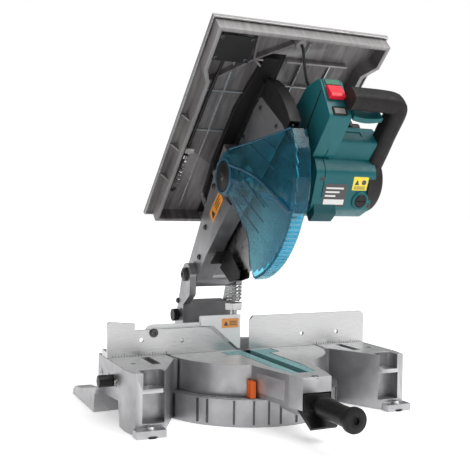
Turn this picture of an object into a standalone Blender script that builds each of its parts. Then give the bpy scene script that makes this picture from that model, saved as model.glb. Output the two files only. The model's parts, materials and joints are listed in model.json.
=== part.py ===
"""A table-top mitre saw: a mitre saw whose motor head also carries a small saw table, for Blender 4.5.

Run it with blender --background --python part.py. Sizes are metres and Z is up. The turntable turns about
the world Z axis, the face of the fence is the plane y = 0, and the operator stands at -Y. The head is drawn
as it lies when lowered, in the frame of the empty head_frame, which then tips it up about its hinge pin.
"""

import math

import bmesh
import bpy
from mathutils import Matrix, Vector

# Fits
GAP = 0.0003
SLIDE_GAP = 0.0005
OVERLAP = 0.002
SEGMENTS = 40

# Base and turntable
WORK_HEIGHT = 0.0867
TURNTABLE_RADIUS = 0.131
FLOOR_THICKNESS = 0.012
RING_WIDTH = 0.0175
RING_HEIGHT = 0.040
WING_LIFT = 0.0005
BOLT_RADIUS = 0.005
BOLT_BOTTOM = 0.0035
KERF_FLOOR = 0.058
WING_REACH = 0.229
WING_FRONT = 0.1228
WING_BACK = 0.050
FOOT_REACH = 0.018
FOOT_THICKNESS = 0.011
ARM_LENGTH = 0.2305
ARM_ROOT_HALF_WIDTH = 0.047
ARM_TIP_HALF_WIDTH = 0.030
ARM_CLEARANCE = 0.0025
SCALE_THICKNESS = 0.0008
SIDE_SCREW = (-0.030, 0.060)
BED_STEP = 0.0007

# Fence
FENCE_HEIGHT = 0.0548
FENCE_LOW_HEIGHT = 0.0403
FENCE_THICKNESS = 0.005
FENCE_RAISED_LENGTH = 0.043
SUB_FENCE_THICKNESS = 0.004
FENCE_BOLT_X = 0.160
FENCE_BOLT_Y = 0.018
FLANGE_THICKNESS = 0.009

# Kerf boards
KERF_HALF_GAP = 0.0081
BOARD_THICKNESS = 0.006
BOARD_HALF_WIDTH = 0.026
BOARD_CROSS_HALF_WIDTH = 0.045
BOARD_LENGTH = 0.195

# Grip and spring pin
GRIP_Z = 0.050
GRIP_LENGTH = 0.096
ROD_RADIUS = 0.005
PIN_Y = 0.045
PIN_RADIUS = 0.006
PIN_BOTTOM = 0.076
PIN_CAP_LOW = 0.147
PIN_CAP_TOP = 0.159
SPRING_TOP = 0.190
SPRING_COIL = 0.0115
SPRING_WIRE = 0.0016

# Bevel bracket and hinge
HINGE_Y = 0.138
HINGE_Z = 0.200
HINGE_PIN_RADIUS = 0.008
BRACKET_HALF_WIDTH = 0.050
CHEEK_THICKNESS = 0.012
BRACKET_FRONT = 0.1505
BRACKET_DEPTH = 0.0455
BOSS_RADIUS = 0.020
BEVEL_SHAFT_RADIUS = 0.010
STOP_PIN = (0.172, 0.125)
HEAD_RAISED = math.radians(43)

# Blade and drive, in the frame of the head
BLADE_DIAMETER = 0.305
BLADE_THICKNESS = 0.0024
BLADE_TEETH = 48
TOOTH_DEPTH = 0.006
BLADE_Y = -0.226
BLADE_Z = 0.016
SPINDLE_RADIUS = 0.008
FLANGE_RADIUS = 0.0195
FLANGE_DEPTH = 0.005
MOTOR_Y = -0.290
MOTOR_Z = -0.049
MOTOR_RADIUS = 0.050
MOTOR_LEFT = 0.046
MOTOR_RIGHT = 0.128
HANDLE_RIGHT = 0.150
MOTOR_WALL = 0.005
STATOR_RADIUS = 0.030
SHAFT_RADIUS = 0.005
MOTOR_PULLEY_RADIUS = 0.014
SPINDLE_PULLEY_RADIUS = 0.028
BELT_THICKNESS = 0.003
DRIVE_LEFT = 0.017
PULLEY_LEFT = 0.0275
PULLEY_WIDTH = 0.010
BEARING_RADIUS = 0.0150
HOUSING_ROUND_SPINDLE = 0.040
HOUSING_ROUND_MOTOR = 0.027
HOUSING_WALL = 0.004
BRUSH_RADIUS = 0.0096

# Arm, blade case and guards, in the frame of the head
ARM_LEFT = -0.036
CASE_HALF_WIDTH = 0.0095
CASE_WALL = 0.0025
CASE_RIM_RADIUS = 0.1585
GUARD_WALL = 0.002
GUARD_NEST = 0.0007
HUB_REACH = 0.050
HUB_RADIUS = 0.029

# Upper table, in the frame of the head
TABLE_LEFT = -0.118
TABLE_RIGHT = 0.178
TABLE_FRONT = -0.458
TABLE_BACK = -0.048
TABLE_TOP = 0.104
TABLE_PLATE = 0.004
TABLE_SKIRT = 0.023
SKIRT_WALL = 0.006
SKIRT_INSET = 0.014
RIB_WALL = 0.003
INSERT_HALF_WIDTH = 0.020
INSERT_FRONT = -0.405
INSERT_BACK = -0.0545
SLIT_HALF_WIDTH = 0.003
POST_RADIUS = 0.006
POST_X = -0.022
POSTS_Y = (-0.165, -0.100)
PLATE_POSTS = ((-0.100, -0.436), (-0.060, -0.412))
COVER_PIVOT = (-0.069, 0.166)
PIVOT_RADIUS = 0.003
SLIT_BACK = -0.0572
LINK_Z = 0.086
LINK_RADIUS = 0.0028

# Switch tower and handle, in the frame of the head
TOWER_LEFT = 0.030
TOWER_RIGHT = 0.066
TOWER_FRONT = -0.434
TOWER_TOP = 0.010
TOWER_BOTTOM = -0.053
TOWER_LEAN = 0.017
TOWER_BACK = -0.335
HANDLE_FRONT = -0.452
HANDLE_BAR = 0.035
HANDLE_BOTTOM = -0.054
HANDLE_TOP = -0.020
SIDE_BAR = 0.025
BUTTON_HALF = 0.0125
BUTTON_POCKETS = ((0.0205, 0.0300, 0.008), (-0.004, 0.0195, 0.008), (-0.028, -0.018, 0.006))
LOCK_ROD = (-0.352, 0.000)

# Values that follow from those above
BLADE_RADIUS = BLADE_DIAMETER / 2
BLADE_AXIS = (BLADE_Y, BLADE_Z)
MOTOR_AXIS = (MOTOR_Y, MOTOR_Z)
FACE_ANGLE = math.atan2(TOWER_LEAN, TOWER_TOP - TOWER_BOTTOM)
RING_INNER = TURNTABLE_RADIUS + SLIDE_GAP + 0.001
RING_OUTER = RING_INNER + RING_WIDTH
ARM_BOTTOM = RING_HEIGHT + ARM_CLEARANCE
FENCE_BOTTOM = WORK_HEIGHT + SLIDE_GAP
FENCE_TOP = WORK_HEIGHT + FENCE_HEIGHT
FENCE_LOW_TOP = WORK_HEIGHT + FENCE_LOW_HEIGHT
SUB_FENCE_PIVOT = (-WING_REACH + 0.073, WORK_HEIGHT + 0.0353)
LOWER_GUARD_INNER = CASE_HALF_WIDTH + GUARD_NEST
UPPER_GUARD_INNER = LOWER_GUARD_INNER + GUARD_WALL + GUARD_NEST
LOWER_GUARD_RIM = CASE_RIM_RADIUS + 0.0025 + GUARD_NEST
UPPER_GUARD_RIM = LOWER_GUARD_RIM + GUARD_WALL + GUARD_NEST
TABLE_UNDER = TABLE_TOP - TABLE_PLATE
SKIRT_BOTTOM = TABLE_UNDER - TABLE_SKIRT
CHEEK_INNER = BRACKET_HALF_WIDTH - CHEEK_THICKNESS
ARM_BOSS_HALF_WIDTH = CHEEK_INNER - SLIDE_GAP
HUB_OUTER_INNER = HUB_RADIUS - 0.0045
HUB_INNER_OUTER = HUB_OUTER_INNER - GUARD_NEST

AXES = {"X": (1, 2, 0), "Y": (0, 2, 1), "Z": (0, 1, 2)}


def clear_scene():
    for item in list(bpy.data.objects):
        bpy.data.objects.remove(item, do_unlink=True)


def finish(name, colour, roughness, metallic=0.0, alpha=1.0):
    """A plain Principled material."""
    material = bpy.data.materials.new(name)
    material.use_nodes = True
    shader = material.node_tree.nodes["Principled BSDF"]
    shader.inputs["Base Color"].default_value = (*colour, 1.0)
    shader.inputs["Roughness"].default_value = roughness
    shader.inputs["Metallic"].default_value = metallic
    shader.inputs["Alpha"].default_value = alpha
    material.diffuse_color = (*colour, 1.0)
    return material


def frame_at(name, location, tilt=0.0, parent=None):
    """An empty that the pieces of one moving body are placed in."""
    empty = bpy.data.objects.new(name, None)
    bpy.context.scene.collection.objects.link(empty)
    empty.location = location
    empty.rotation_euler = (tilt, 0.0, 0.0)
    empty.parent = parent
    return empty


def mesh_of(shape):
    bmesh.ops.recalc_face_normals(shape, faces=shape.faces)
    mesh = bpy.data.meshes.new("shape")
    shape.to_mesh(mesh)
    shape.free()
    return mesh


def prism(outline, axis, low, high):
    """A flat outline pushed from low to high along an axis. The outline's points are the other two axes."""
    first, second, along = AXES[axis]
    shape = bmesh.new()
    ends = []
    for level in (low, high):
        ring = []
        for point in outline:
            place = [0.0, 0.0, 0.0]
            place[first] = point[0]
            place[second] = point[1]
            place[along] = level
            ring.append(shape.verts.new(place))
        ends.append(ring)
    shape.faces.new(ends[0])
    shape.faces.new(list(reversed(ends[1])))
    count = len(outline)
    for i in range(count):
        after = (i + 1) % count
        shape.faces.new((ends[0][i], ends[1][i], ends[1][after], ends[0][after]))
    return mesh_of(shape)


def box(x, y, z):
    """A box from three (low, high) pairs."""
    corners = ((x[0], y[0]), (x[1], y[0]), (x[1], y[1]), (x[0], y[1]))
    return prism(corners, "Z", z[0], z[1])


def arc(centre, radius, start, end, steps):
    """Points along an arc, angles in degrees from the first axis."""
    points = []
    for i in range(steps + 1):
        angle = math.radians(start + (end - start) * i / steps)
        points.append((centre[0] + radius * math.cos(angle), centre[1] + radius * math.sin(angle)))
    return points


def disc(centre, radius, axis, low, high, steps=SEGMENTS):
    return prism(arc(centre, radius, 0, 360 - 360 / steps, steps - 1), axis, low, high)


def lathe(profile, axis, centre, steps=SEGMENTS):
    """A closed profile of (radius, along) points turned about an axis through centre."""
    first, second, along = AXES[axis]
    shape = bmesh.new()
    rings = []
    for i in range(steps):
        angle = 2 * math.pi * i / steps
        ring = []
        for j, (radius, level) in enumerate(profile):
            if radius == 0 and rings:
                ring.append(rings[0][j])
                continue
            place = [0.0, 0.0, 0.0]
            place[first] = centre[0] + radius * math.cos(angle)
            place[second] = centre[1] + radius * math.sin(angle)
            place[along] = level
            ring.append(shape.verts.new(place))
        rings.append(ring)
    count = len(profile)
    for i in range(steps):
        here, there = rings[i], rings[(i + 1) % steps]
        for j in range(count):
            after = (j + 1) % count
            corners = list(dict.fromkeys((here[j], here[after], there[after], there[j])))
            if len(corners) > 2:
                shape.faces.new(corners)
    return mesh_of(shape)


def tube(centre, inner, outer, axis, low, high, steps=SEGMENTS):
    return lathe([(inner, low), (outer, low), (outer, high), (inner, high)], axis, centre, steps)


def stepped(centre, axis, sections, steps=SEGMENTS):
    """Discs of different radii end to end: sections are (radius, from, to), each meeting the next."""
    parts = [disc(centre, radius, axis, low, high, steps) for radius, low, high in sections]
    return parts


def sweep(points, radius, sides=8):
    """A round bar along a smooth list of points, with flat ends."""
    path = [Vector(point) for point in points]
    shape = bmesh.new()
    rings = []
    side = None
    for i, place in enumerate(path):
        ahead = path[min(i + 1, len(path) - 1)] - path[max(i - 1, 0)]
        ahead.normalize()
        if side is None:
            side = ahead.orthogonal().normalized()
        side = (side - ahead * side.dot(ahead)).normalized()
        across = ahead.cross(side)
        ring = []
        for j in range(sides):
            angle = 2 * math.pi * j / sides
            offset = side * math.cos(angle) + across * math.sin(angle)
            ring.append(shape.verts.new(place + offset * radius))
        rings.append(ring)
    for here, there in zip(rings, rings[1:]):
        for j in range(sides):
            after = (j + 1) % sides
            shape.faces.new((here[j], here[after], there[after], there[j]))
    shape.faces.new(rings[0])
    shape.faces.new(list(reversed(rings[-1])))
    return mesh_of(shape)


def smooth(points, steps=6):
    """Catmull-Rom points through the given ones."""
    path = [Vector(point) for point in points]
    path = [2 * path[0] - path[1], *path, 2 * path[-1] - path[-2]]
    found = []
    for a, b, c, d in zip(path, path[1:], path[2:], path[3:]):
        for i in range(steps):
            t = i / steps
            square = (2 * a - 5 * b + 4 * c - d) * t**2
            cube = (3 * b - a - 3 * c + d) * t**3
            found.append(0.5 * (2 * b + (c - a) * t + square + cube))
    return [*found, path[-2]]


def coil(start, end, radius, turns, per_turn=10):
    """Points of a helix whose axis runs from start to end."""
    start, end = Vector(start), Vector(end)
    ahead = (end - start).normalized()
    side = ahead.orthogonal().normalized()
    across = ahead.cross(side)
    points = []
    for i in range(turns * per_turn + 1):
        angle = 2 * math.pi * i / per_turn
        ring = side * math.cos(angle) + across * math.sin(angle)
        points.append(start.lerp(end, i / (turns * per_turn)) + ring * radius)
    return points


def inset(outline, distance):
    """The outline moved inwards, its points running anticlockwise."""
    moved = []
    count = len(outline)
    for i in range(count):
        before, here, after = (Vector(outline[(i + k) % count]) for k in (-1, 0, 1))
        into = (here - before).normalized()
        out = (after - here).normalized()
        normals = Vector((-into.y, into.x)), Vector((-out.y, out.x))
        middle = (normals[0] + normals[1]).normalized()
        moved.append(tuple(here + middle * distance / middle.dot(normals[0])))
    return moved


def mirrored(mesh):
    """The mesh turned over to the other side of x = 0."""
    mesh.transform(Matrix.Scale(-1, 4, (1, 0, 0)))
    mesh.flip_normals()
    return mesh


def combine(target, mesh, operation):
    """One EXACT Boolean, applied."""
    tool = bpy.data.objects.new("tool", mesh)
    tool.hide_render = True
    tool.display_type = "WIRE"
    bpy.context.scene.collection.objects.link(tool)
    modifier = target.modifiers.new("combine", "BOOLEAN")
    modifier.object = tool
    modifier.operation = operation
    modifier.solver = "EXACT"
    bpy.context.view_layer.update()
    evaluated = target.evaluated_get(bpy.context.evaluated_depsgraph_get())
    result = bpy.data.meshes.new_from_object(evaluated)
    target.modifiers.clear()
    target.data = result
    bpy.data.objects.remove(tool, do_unlink=True)


def carved(name, shapes, cuts=()):
    """An object of its shapes joined, then its cuts taken away."""
    made = bpy.data.objects.new(name, shapes[0])
    bpy.context.scene.collection.objects.link(made)
    for shape in shapes[1:]:
        combine(made, shape, "UNION")
    for cut in cuts:
        combine(made, cut, "DIFFERENCE")
    return made


def carved_mesh(shapes, cuts=()):
    """The mesh of some shapes joined and cut, to be joined to something else."""
    made = carved("carved", shapes, cuts)
    mesh = made.data
    bpy.data.objects.remove(made, do_unlink=True)
    return mesh


def piece(name, look, parent, shapes, cuts=()):
    """One named solid, drawn in the frame of its parent."""
    made = carved(name, shapes, cuts)
    made.data.materials.clear()
    made.data.materials.append(look)
    made.parent = parent
    return made


# ---------------------------------------------------------------- base


def wing_shapes():
    """The right wing with its front foot and its rear lobe."""
    outline = [
        (0.100, WING_BACK),
        (0.100, -0.020),
        (0.137, -0.038),
        (0.178, -WING_FRONT + 0.006),
        (0.183, -WING_FRONT),
        (WING_REACH - 0.006, -WING_FRONT),
        (WING_REACH, -WING_FRONT + 0.030),
        (WING_REACH, WING_BACK),
    ]
    foot = box(
        (WING_REACH - 0.0455, WING_REACH - 0.003),
        (-WING_FRONT - FOOT_REACH, -WING_FRONT + OVERLAP),
        (0, FOOT_THICKNESS),
    )
    lobe_side = [
        (WING_BACK - 0.030, 0),
        (WING_BACK + 0.115, 0),
        (WING_BACK + 0.115, 0.008),
        (WING_BACK + 0.100, 0.016),
        (WING_BACK + 0.060, 0.021),
        (WING_BACK - 0.030, RING_HEIGHT),
    ]
    lobe = prism(lobe_side, "X", WING_REACH - 0.014, WING_REACH + 0.013)
    return [prism(outline, "Z", WING_LIFT, WORK_HEIGHT), foot, lobe]


def wing_cuts():
    """The pockets and the side arch of the right wing."""
    pocket_x = WING_REACH - 0.033
    mouth_front = -WING_FRONT - 0.02
    pocket = disc((pocket_x, -WING_FRONT + 0.008), 0.016, "Z", 0.064, WORK_HEIGHT + OVERLAP, 24)
    mouth = box((pocket_x - 0.016, pocket_x + 0.016), (mouth_front, -WING_FRONT + 0.008), (0.064, 0.1))
    recess = box((pocket_x - 0.017, pocket_x + 0.017), (mouth_front, -WING_FRONT + 0.020), (0.016, 0.058))
    arch_side = [(-0.070, -0.01), (0.030, -0.01), (0.024, 0.030), (-0.058, 0.036)]
    arch = prism(arch_side, "X", WING_REACH - 0.030, WING_REACH + 0.03)
    slot = box((0.166, 0.180), (-0.066, -0.006), (WORK_HEIGHT - 0.006, WORK_HEIGHT + OVERLAP))
    well = disc((0, 0), RING_INNER + 0.001, "Z", -OVERLAP, WORK_HEIGHT + OVERLAP, 64)
    return [pocket, mouth, recess, arch, slot, well]


def base_casting(look):
    pan_profile = [
        (0, 0),
        (RING_OUTER, 0),
        (RING_OUTER, RING_HEIGHT),
        (RING_INNER, RING_HEIGHT),
        (RING_INNER, FLOOR_THICKNESS),
        (0, FLOOR_THICKNESS),
    ]
    pan = lathe(pan_profile, "Z", (0, 0), 64)
    right = carved_mesh(wing_shapes(), wing_cuts())
    left = mirrored(carved_mesh(wing_shapes(), wing_cuts()))
    screw_bore = disc(SIDE_SCREW, 0.0043, "X", -WING_REACH - OVERLAP, -WING_REACH + 0.030, 16)
    bolt_hole = disc((0, 0), BOLT_RADIUS + GAP, "Z", BOLT_BOTTOM - GAP, WORK_HEIGHT, 16)
    return piece("base_casting", look, None, [pan, right, left], [screw_bore, bolt_hole])


def base_details(metal, black, steel):
    scale_low = RING_HEIGHT + GAP
    scale_outline = [
        *arc((0, 0), RING_OUTER - 0.002, -140, -40, 24),
        *arc((0, 0), RING_INNER + 0.002, -40, -140, 24),
    ]
    piece("mitre_scale", metal, None, [prism(scale_outline, "Z", scale_low, scale_low + SCALE_THICKNESS)])
    head = disc((0, 0), 0.0105, "Z", KERF_FLOOR + GAP, KERF_FLOOR + 0.006, 6)
    shank = disc((0, 0), BOLT_RADIUS, "Z", BOLT_BOTTOM, KERF_FLOOR + 0.004, 16)
    piece("turntable_bolt", steel, None, [head, shank])
    knob = disc(SIDE_SCREW, 0.009, "X", -WING_REACH - 0.022, -WING_REACH - GAP, 20)
    screw = disc(SIDE_SCREW, 0.004, "X", -WING_REACH - 0.010, -WING_REACH + 0.024, 16)
    piece("side_clamp_screw", black, None, [knob, screw])


def fence(side, look):
    """The left fence has a low middle that the sub-fence covers. The right one is high to its inner end."""
    if side == "left":
        outline = [
            (-WING_REACH, FENCE_BOTTOM),
            (-0.014, FENCE_BOTTOM),
            (-0.066, FENCE_LOW_TOP),
            (-WING_REACH + FENCE_RAISED_LENGTH, FENCE_LOW_TOP),
            (-WING_REACH + FENCE_RAISED_LENGTH, FENCE_TOP - 0.004),
            (-WING_REACH + 0.003, FENCE_TOP),
            (-WING_REACH, FENCE_TOP - 0.003),
        ]
        sign, inner = -1, 0.060
        holes = [(-0.175, 0.112), (-0.109, 0.108)]
    else:
        outline = [
            (0.0075, FENCE_BOTTOM),
            (WING_REACH, FENCE_BOTTOM),
            (WING_REACH, FENCE_TOP - 0.006),
            (WING_REACH - 0.006, FENCE_TOP),
            (0.015, FENCE_TOP),
            (0.0075, FENCE_TOP - 0.0075),
        ]
        sign, inner = 1, 0.060
        holes = [(0.106, 0.108), (0.174, 0.108)]
    reach = sorted((sign * inner, sign * WING_REACH))
    plate = prism(outline, "Y", 0, FENCE_THICKNESS)
    flange = box(reach, (0, 0.030), (FENCE_BOTTOM, FENCE_BOTTOM + FLANGE_THICKNESS))
    shapes = [plate, flange]
    for x in (0.090, 0.130, 0.195):
        web = [(0.001, FENCE_BOTTOM + 0.005), (0.028, FENCE_BOTTOM + 0.005), (0.001, 0.105)]
        shapes.append(prism(web, "X", sign * x - 0.002, sign * x + 0.002))
    cuts = [disc(hole, 0.0035, "Y", -OVERLAP, FENCE_THICKNESS + OVERLAP, 16) for hole in holes]
    relief_start = min(abs(point[0]) for point in outline) - 0.0005
    relief = [
        (sign * relief_start, 0.0012),
        (sign * (relief_start - 0.010), 0.0012),
        (sign * (relief_start - 0.010), 0.040),
        (sign * (relief_start + 0.045), 0.040),
    ]
    cuts.append(prism(relief, "Z", WORK_HEIGHT - 0.01, FENCE_TOP + 0.01))
    cuts.append(disc((sign * FENCE_BOLT_X, FENCE_BOLT_Y), 0.0033, "Z", WORK_HEIGHT - 0.01, 0.12, 16))
    if side == "left":
        cuts.append(disc(SUB_FENCE_PIVOT, 0.0033, "Y", -OVERLAP, FENCE_THICKNESS + OVERLAP, 16))
    piece("fence_" + side, look, None, shapes, cuts)


def sub_fence(white, steel):
    """The flip-over fence: a bar behind the left fence that carries a plate flush with its face."""
    back = FENCE_THICKNESS + GAP
    pz = SUB_FENCE_PIVOT[1]
    bar = [*arc(SUB_FENCE_PIVOT, 0.012, 90, 270, 10), (-0.060, pz - 0.012), (-0.060, pz + 0.012)]
    plate = [
        (-0.077, pz - 0.022),
        (-0.016, pz - 0.022),
        (-0.008, pz - 0.012),
        (-0.008, pz + 0.021),
        (-0.077, pz + 0.021),
    ]
    pad = [
        (-0.077, FENCE_LOW_TOP + 0.0015),
        (-0.0565, FENCE_LOW_TOP + 0.0015),
        (-0.0118, WORK_HEIGHT + 0.003),
        (-0.008, WORK_HEIGHT + 0.003),
        (-0.008, FENCE_TOP + 0.003),
        (-0.077, FENCE_TOP + 0.003),
    ]
    shapes = [
        prism(plate, "Y", back, back + SUB_FENCE_THICKNESS),
        prism(bar, "Y", back, back + SUB_FENCE_THICKNESS),
        prism(pad, "Y", GAP, back + 0.001),
    ]
    hole = disc(SUB_FENCE_PIVOT, 0.0033, "Y", -OVERLAP, 0.03, 16)
    piece("sub_fence", white, None, shapes, [hole])
    flange = disc(SUB_FENCE_PIVOT, 0.007, "Y", -0.0023, -GAP, 20)
    shank = disc(SUB_FENCE_PIVOT, 0.003, "Y", -0.001, back + SUB_FENCE_THICKNESS + 0.006, 16)
    nut_back = back + SUB_FENCE_THICKNESS
    nut = disc(SUB_FENCE_PIVOT, 0.006, "Y", nut_back + GAP, nut_back + 0.005, 6)
    piece("sub_fence_screw", steel, None, [shank, flange, nut])


def fence_bolts(steel):
    low = FENCE_BOTTOM + FLANGE_THICKNESS + GAP
    for side, sign in (("left", -1), ("right", 1)):
        head = disc((sign * FENCE_BOLT_X, FENCE_BOLT_Y), 0.0055, "Z", low, low + 0.005, 6)
        shank = disc((sign * FENCE_BOLT_X, FENCE_BOLT_Y), 0.003, "Z", WORK_HEIGHT + GAP, low + 0.002, 12)
        piece("fence_bolt_" + side, steel, None, [head, shank])


# ---------------------------------------------------------------- turntable

def turntable(look):
    plate = disc((0, 0), TURNTABLE_RADIUS, "Z", FLOOR_THICKNESS + SLIDE_GAP, WORK_HEIGHT, 64)
    arm_outline = [
        (-ARM_ROOT_HALF_WIDTH, -0.100),
        (-ARM_ROOT_HALF_WIDTH, -0.124),
        (-ARM_TIP_HALF_WIDTH, -ARM_LENGTH + 0.025),
        (-ARM_TIP_HALF_WIDTH + 0.0075, -ARM_LENGTH),
        (ARM_TIP_HALF_WIDTH - 0.0075, -ARM_LENGTH),
        (ARM_TIP_HALF_WIDTH, -ARM_LENGTH + 0.025),
        (ARM_ROOT_HALF_WIDTH, -0.124),
        (ARM_ROOT_HALF_WIDTH, -0.100),
    ]
    arm = prism(arm_outline, "Z", ARM_BOTTOM, WORK_HEIGHT)
    boss = disc((0, WORK_HEIGHT), 0.030, "Y", 0.105, BRACKET_FRONT - SLIDE_GAP, 32)
    lug = box((-0.020, 0.012), (-ARM_LENGTH + 0.012, -0.160), (0.032, ARM_BOTTOM + OVERLAP))
    kerf = box((-0.012, 0.028), (-0.180, 0.014), (KERF_FLOOR, WORK_HEIGHT - 0.003))
    kerf_top = box((-KERF_HALF_GAP, KERF_HALF_GAP), (-BOARD_LENGTH, 0.012), (0.070, WORK_HEIGHT + OVERLAP))
    board_bed = prism(board_outline(GAP), "Z", WORK_HEIGHT - BOARD_THICKNESS - GAP, WORK_HEIGHT + OVERLAP)
    board_bed_left = mirrored(
        prism(board_outline(GAP), "Z", WORK_HEIGHT - BOARD_THICKNESS - GAP, WORK_HEIGHT + OVERLAP)
    )
    bed_step = box((-0.14, 0.14), (-SLIDE_GAP, 0.105), (WORK_HEIGHT - BED_STEP, WORK_HEIGHT + OVERLAP))
    bore = disc((0, PIN_Y), PIN_RADIUS + SLIDE_GAP, "Z", 0.016, WORK_HEIGHT + OVERLAP, 20)
    bolt_bore = disc((0, 0), BOLT_RADIUS + SLIDE_GAP, "Z", 0, KERF_FLOOR + OVERLAP, 16)
    shaft_bore = disc((0, WORK_HEIGHT), BEVEL_SHAFT_RADIUS + SLIDE_GAP, "Y", 0.112, 0.2, 24)
    grip_bore = disc((0, GRIP_Z), ROD_RADIUS + GAP, "Y", -ARM_LENGTH - OVERLAP, -0.120, 16)
    lever_bay = box((-0.0225, 0.0225), (-ARM_LENGTH - OVERLAP, -ARM_LENGTH + 0.020), (0.03, GRIP_Z + 0.016))
    bores = [bore, bolt_bore, shaft_bore, grip_bore]
    cuts = [kerf, kerf_top, board_bed, board_bed_left, bed_step, *bores, lever_bay]
    piece("turntable", look, None, [plate, arm, boss, lug], cuts)


def board_outline(grow=0.0):
    """The right kerf board, wide where it crosses the middle of the turntable."""
    return [
        (KERF_HALF_GAP - grow, -BOARD_LENGTH - grow),
        (BOARD_HALF_WIDTH - 0.008, -BOARD_LENGTH - grow),
        (BOARD_HALF_WIDTH + grow, -BOARD_LENGTH + 0.050),
        (BOARD_HALF_WIDTH + grow, -0.040 - grow),
        (BOARD_CROSS_HALF_WIDTH + grow, -0.034 - grow),
        (BOARD_CROSS_HALF_WIDTH + grow, -0.004 + grow),
        (KERF_HALF_GAP - grow, -0.004 + grow),
    ]


def turntable_details(teal, orange, black, steel):
    low = WORK_HEIGHT - BOARD_THICKNESS
    right = prism(board_outline(), "Z", low, WORK_HEIGHT)
    left = mirrored(prism(board_outline(), "Z", low, WORK_HEIGHT))
    piece("kerf_board_right", teal, None, [right])
    piece("kerf_board_left", teal, None, [left])
    post_low = RING_HEIGHT + GAP + SCALE_THICKNESS + SLIDE_GAP
    post = box((-0.0555, -0.0472), (-0.139, -0.124), (post_low, 0.066))
    piece("mitre_pointer", orange, None, [post])
    rod = disc((0, GRIP_Z), ROD_RADIUS, "Y", -ARM_LENGTH - 0.012, -0.130, 16)
    piece("grip_rod", steel, None, [rod])
    grip_front = -ARM_LENGTH - GRIP_LENGTH
    profile = [
        (ROD_RADIUS + GAP, -ARM_LENGTH - 0.004),
        (ROD_RADIUS + GAP, -ARM_LENGTH - 0.013),
        (0.0035, -ARM_LENGTH - 0.013),
        (0.0035, grip_front + 0.010),
        (0.0090, grip_front + 0.010),
        (0.0090, grip_front),
        (0.0150, grip_front),
        (0.0172, grip_front + 0.002),
        (0.0172, grip_front + 0.010),
        (0.0150, grip_front + 0.013),
        (0.0135, -ARM_LENGTH - 0.050),
        (0.0150, -ARM_LENGTH - 0.022),
        (0.0105, -ARM_LENGTH - 0.012),
        (0.0095, -ARM_LENGTH - 0.004),
    ]
    piece("mitre_grip", black, None, [lathe(profile, "Y", (0, GRIP_Z), 24)])
    lever_side = [
        (-ARM_LENGTH, GRIP_Z + 0.014),
        (-ARM_LENGTH, GRIP_Z - 0.010),
        (-ARM_LENGTH - 0.022, GRIP_Z - 0.026),
        (-ARM_LENGTH - 0.018, GRIP_Z - 0.030),
        (-ARM_LENGTH + 0.016, GRIP_Z - 0.012),
        (-ARM_LENGTH + 0.016, GRIP_Z + 0.014),
    ]
    lever_hole = disc((0, GRIP_Z), 0.0078, "Y", -ARM_LENGTH - 0.05, -ARM_LENGTH + 0.02, 16)
    piece("detent_lever", black, None, [prism(lever_side, "X", -0.0205, 0.0205)], [lever_hole])


def return_spring(steel):
    """The sprung pin behind the fence that the head presses down."""
    pin = disc((0, PIN_Y), PIN_RADIUS, "Z", PIN_BOTTOM, PIN_CAP_LOW + OVERLAP, 16)
    cap = disc((0, PIN_Y), 0.0155, "Z", PIN_CAP_LOW, PIN_CAP_TOP, 6)
    piece("spring_pin", steel, None, [pin, cap])
    spring_low = PIN_CAP_TOP + SPRING_WIRE + SLIDE_GAP
    points = coil((0, PIN_Y, spring_low), (0, PIN_Y, SPRING_TOP), SPRING_COIL, 4, 12)
    piece("return_spring", steel, None, [sweep(points, SPRING_WIRE, 6)])


# ---------------------------------------------------------------- bevel bracket


def bevel_bracket(look):
    back = BRACKET_FRONT + BRACKET_DEPTH
    side = [
        (BRACKET_FRONT, 0.060),
        (back, 0.060),
        (back, 0.099),
        (HINGE_Y + BOSS_RADIUS - 0.001, HINGE_Z),
        (HINGE_Y - BOSS_RADIUS + 0.001, HINGE_Z),
        (HINGE_Y - BOSS_RADIUS + 0.003, 0.165),
        (BRACKET_FRONT, 0.146),
    ]
    shapes = [box((-CHEEK_INNER - 0.001, CHEEK_INNER + 0.001), (BRACKET_FRONT, back - 0.004), (0.050, 0.150))]
    shapes.append(disc((0, WORK_HEIGHT), 0.044, "Y", BRACKET_FRONT, back - 0.008, 40))
    for x in ((-BRACKET_HALF_WIDTH, -CHEEK_INNER), (CHEEK_INNER, BRACKET_HALF_WIDTH)):
        shapes.append(prism(side, "X", x[0], x[1]))
        shapes.append(disc((HINGE_Y, HINGE_Z), BOSS_RADIUS, "X", x[0], x[1], 32))
    pin_bore = disc((HINGE_Y, HINGE_Z), HINGE_PIN_RADIUS + GAP, "X", -0.1, 0.1, 24)
    shaft_bore = disc((0, WORK_HEIGHT), BEVEL_SHAFT_RADIUS + GAP, "Y", 0.1, 0.3, 24)
    stop_bore = disc((0.172, 0.125), 0.0033, "X", -0.08, -CHEEK_INNER + 0.004, 12)
    piece("bevel_bracket", look, None, shapes, [pin_bore, shaft_bore, stop_bore])


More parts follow.
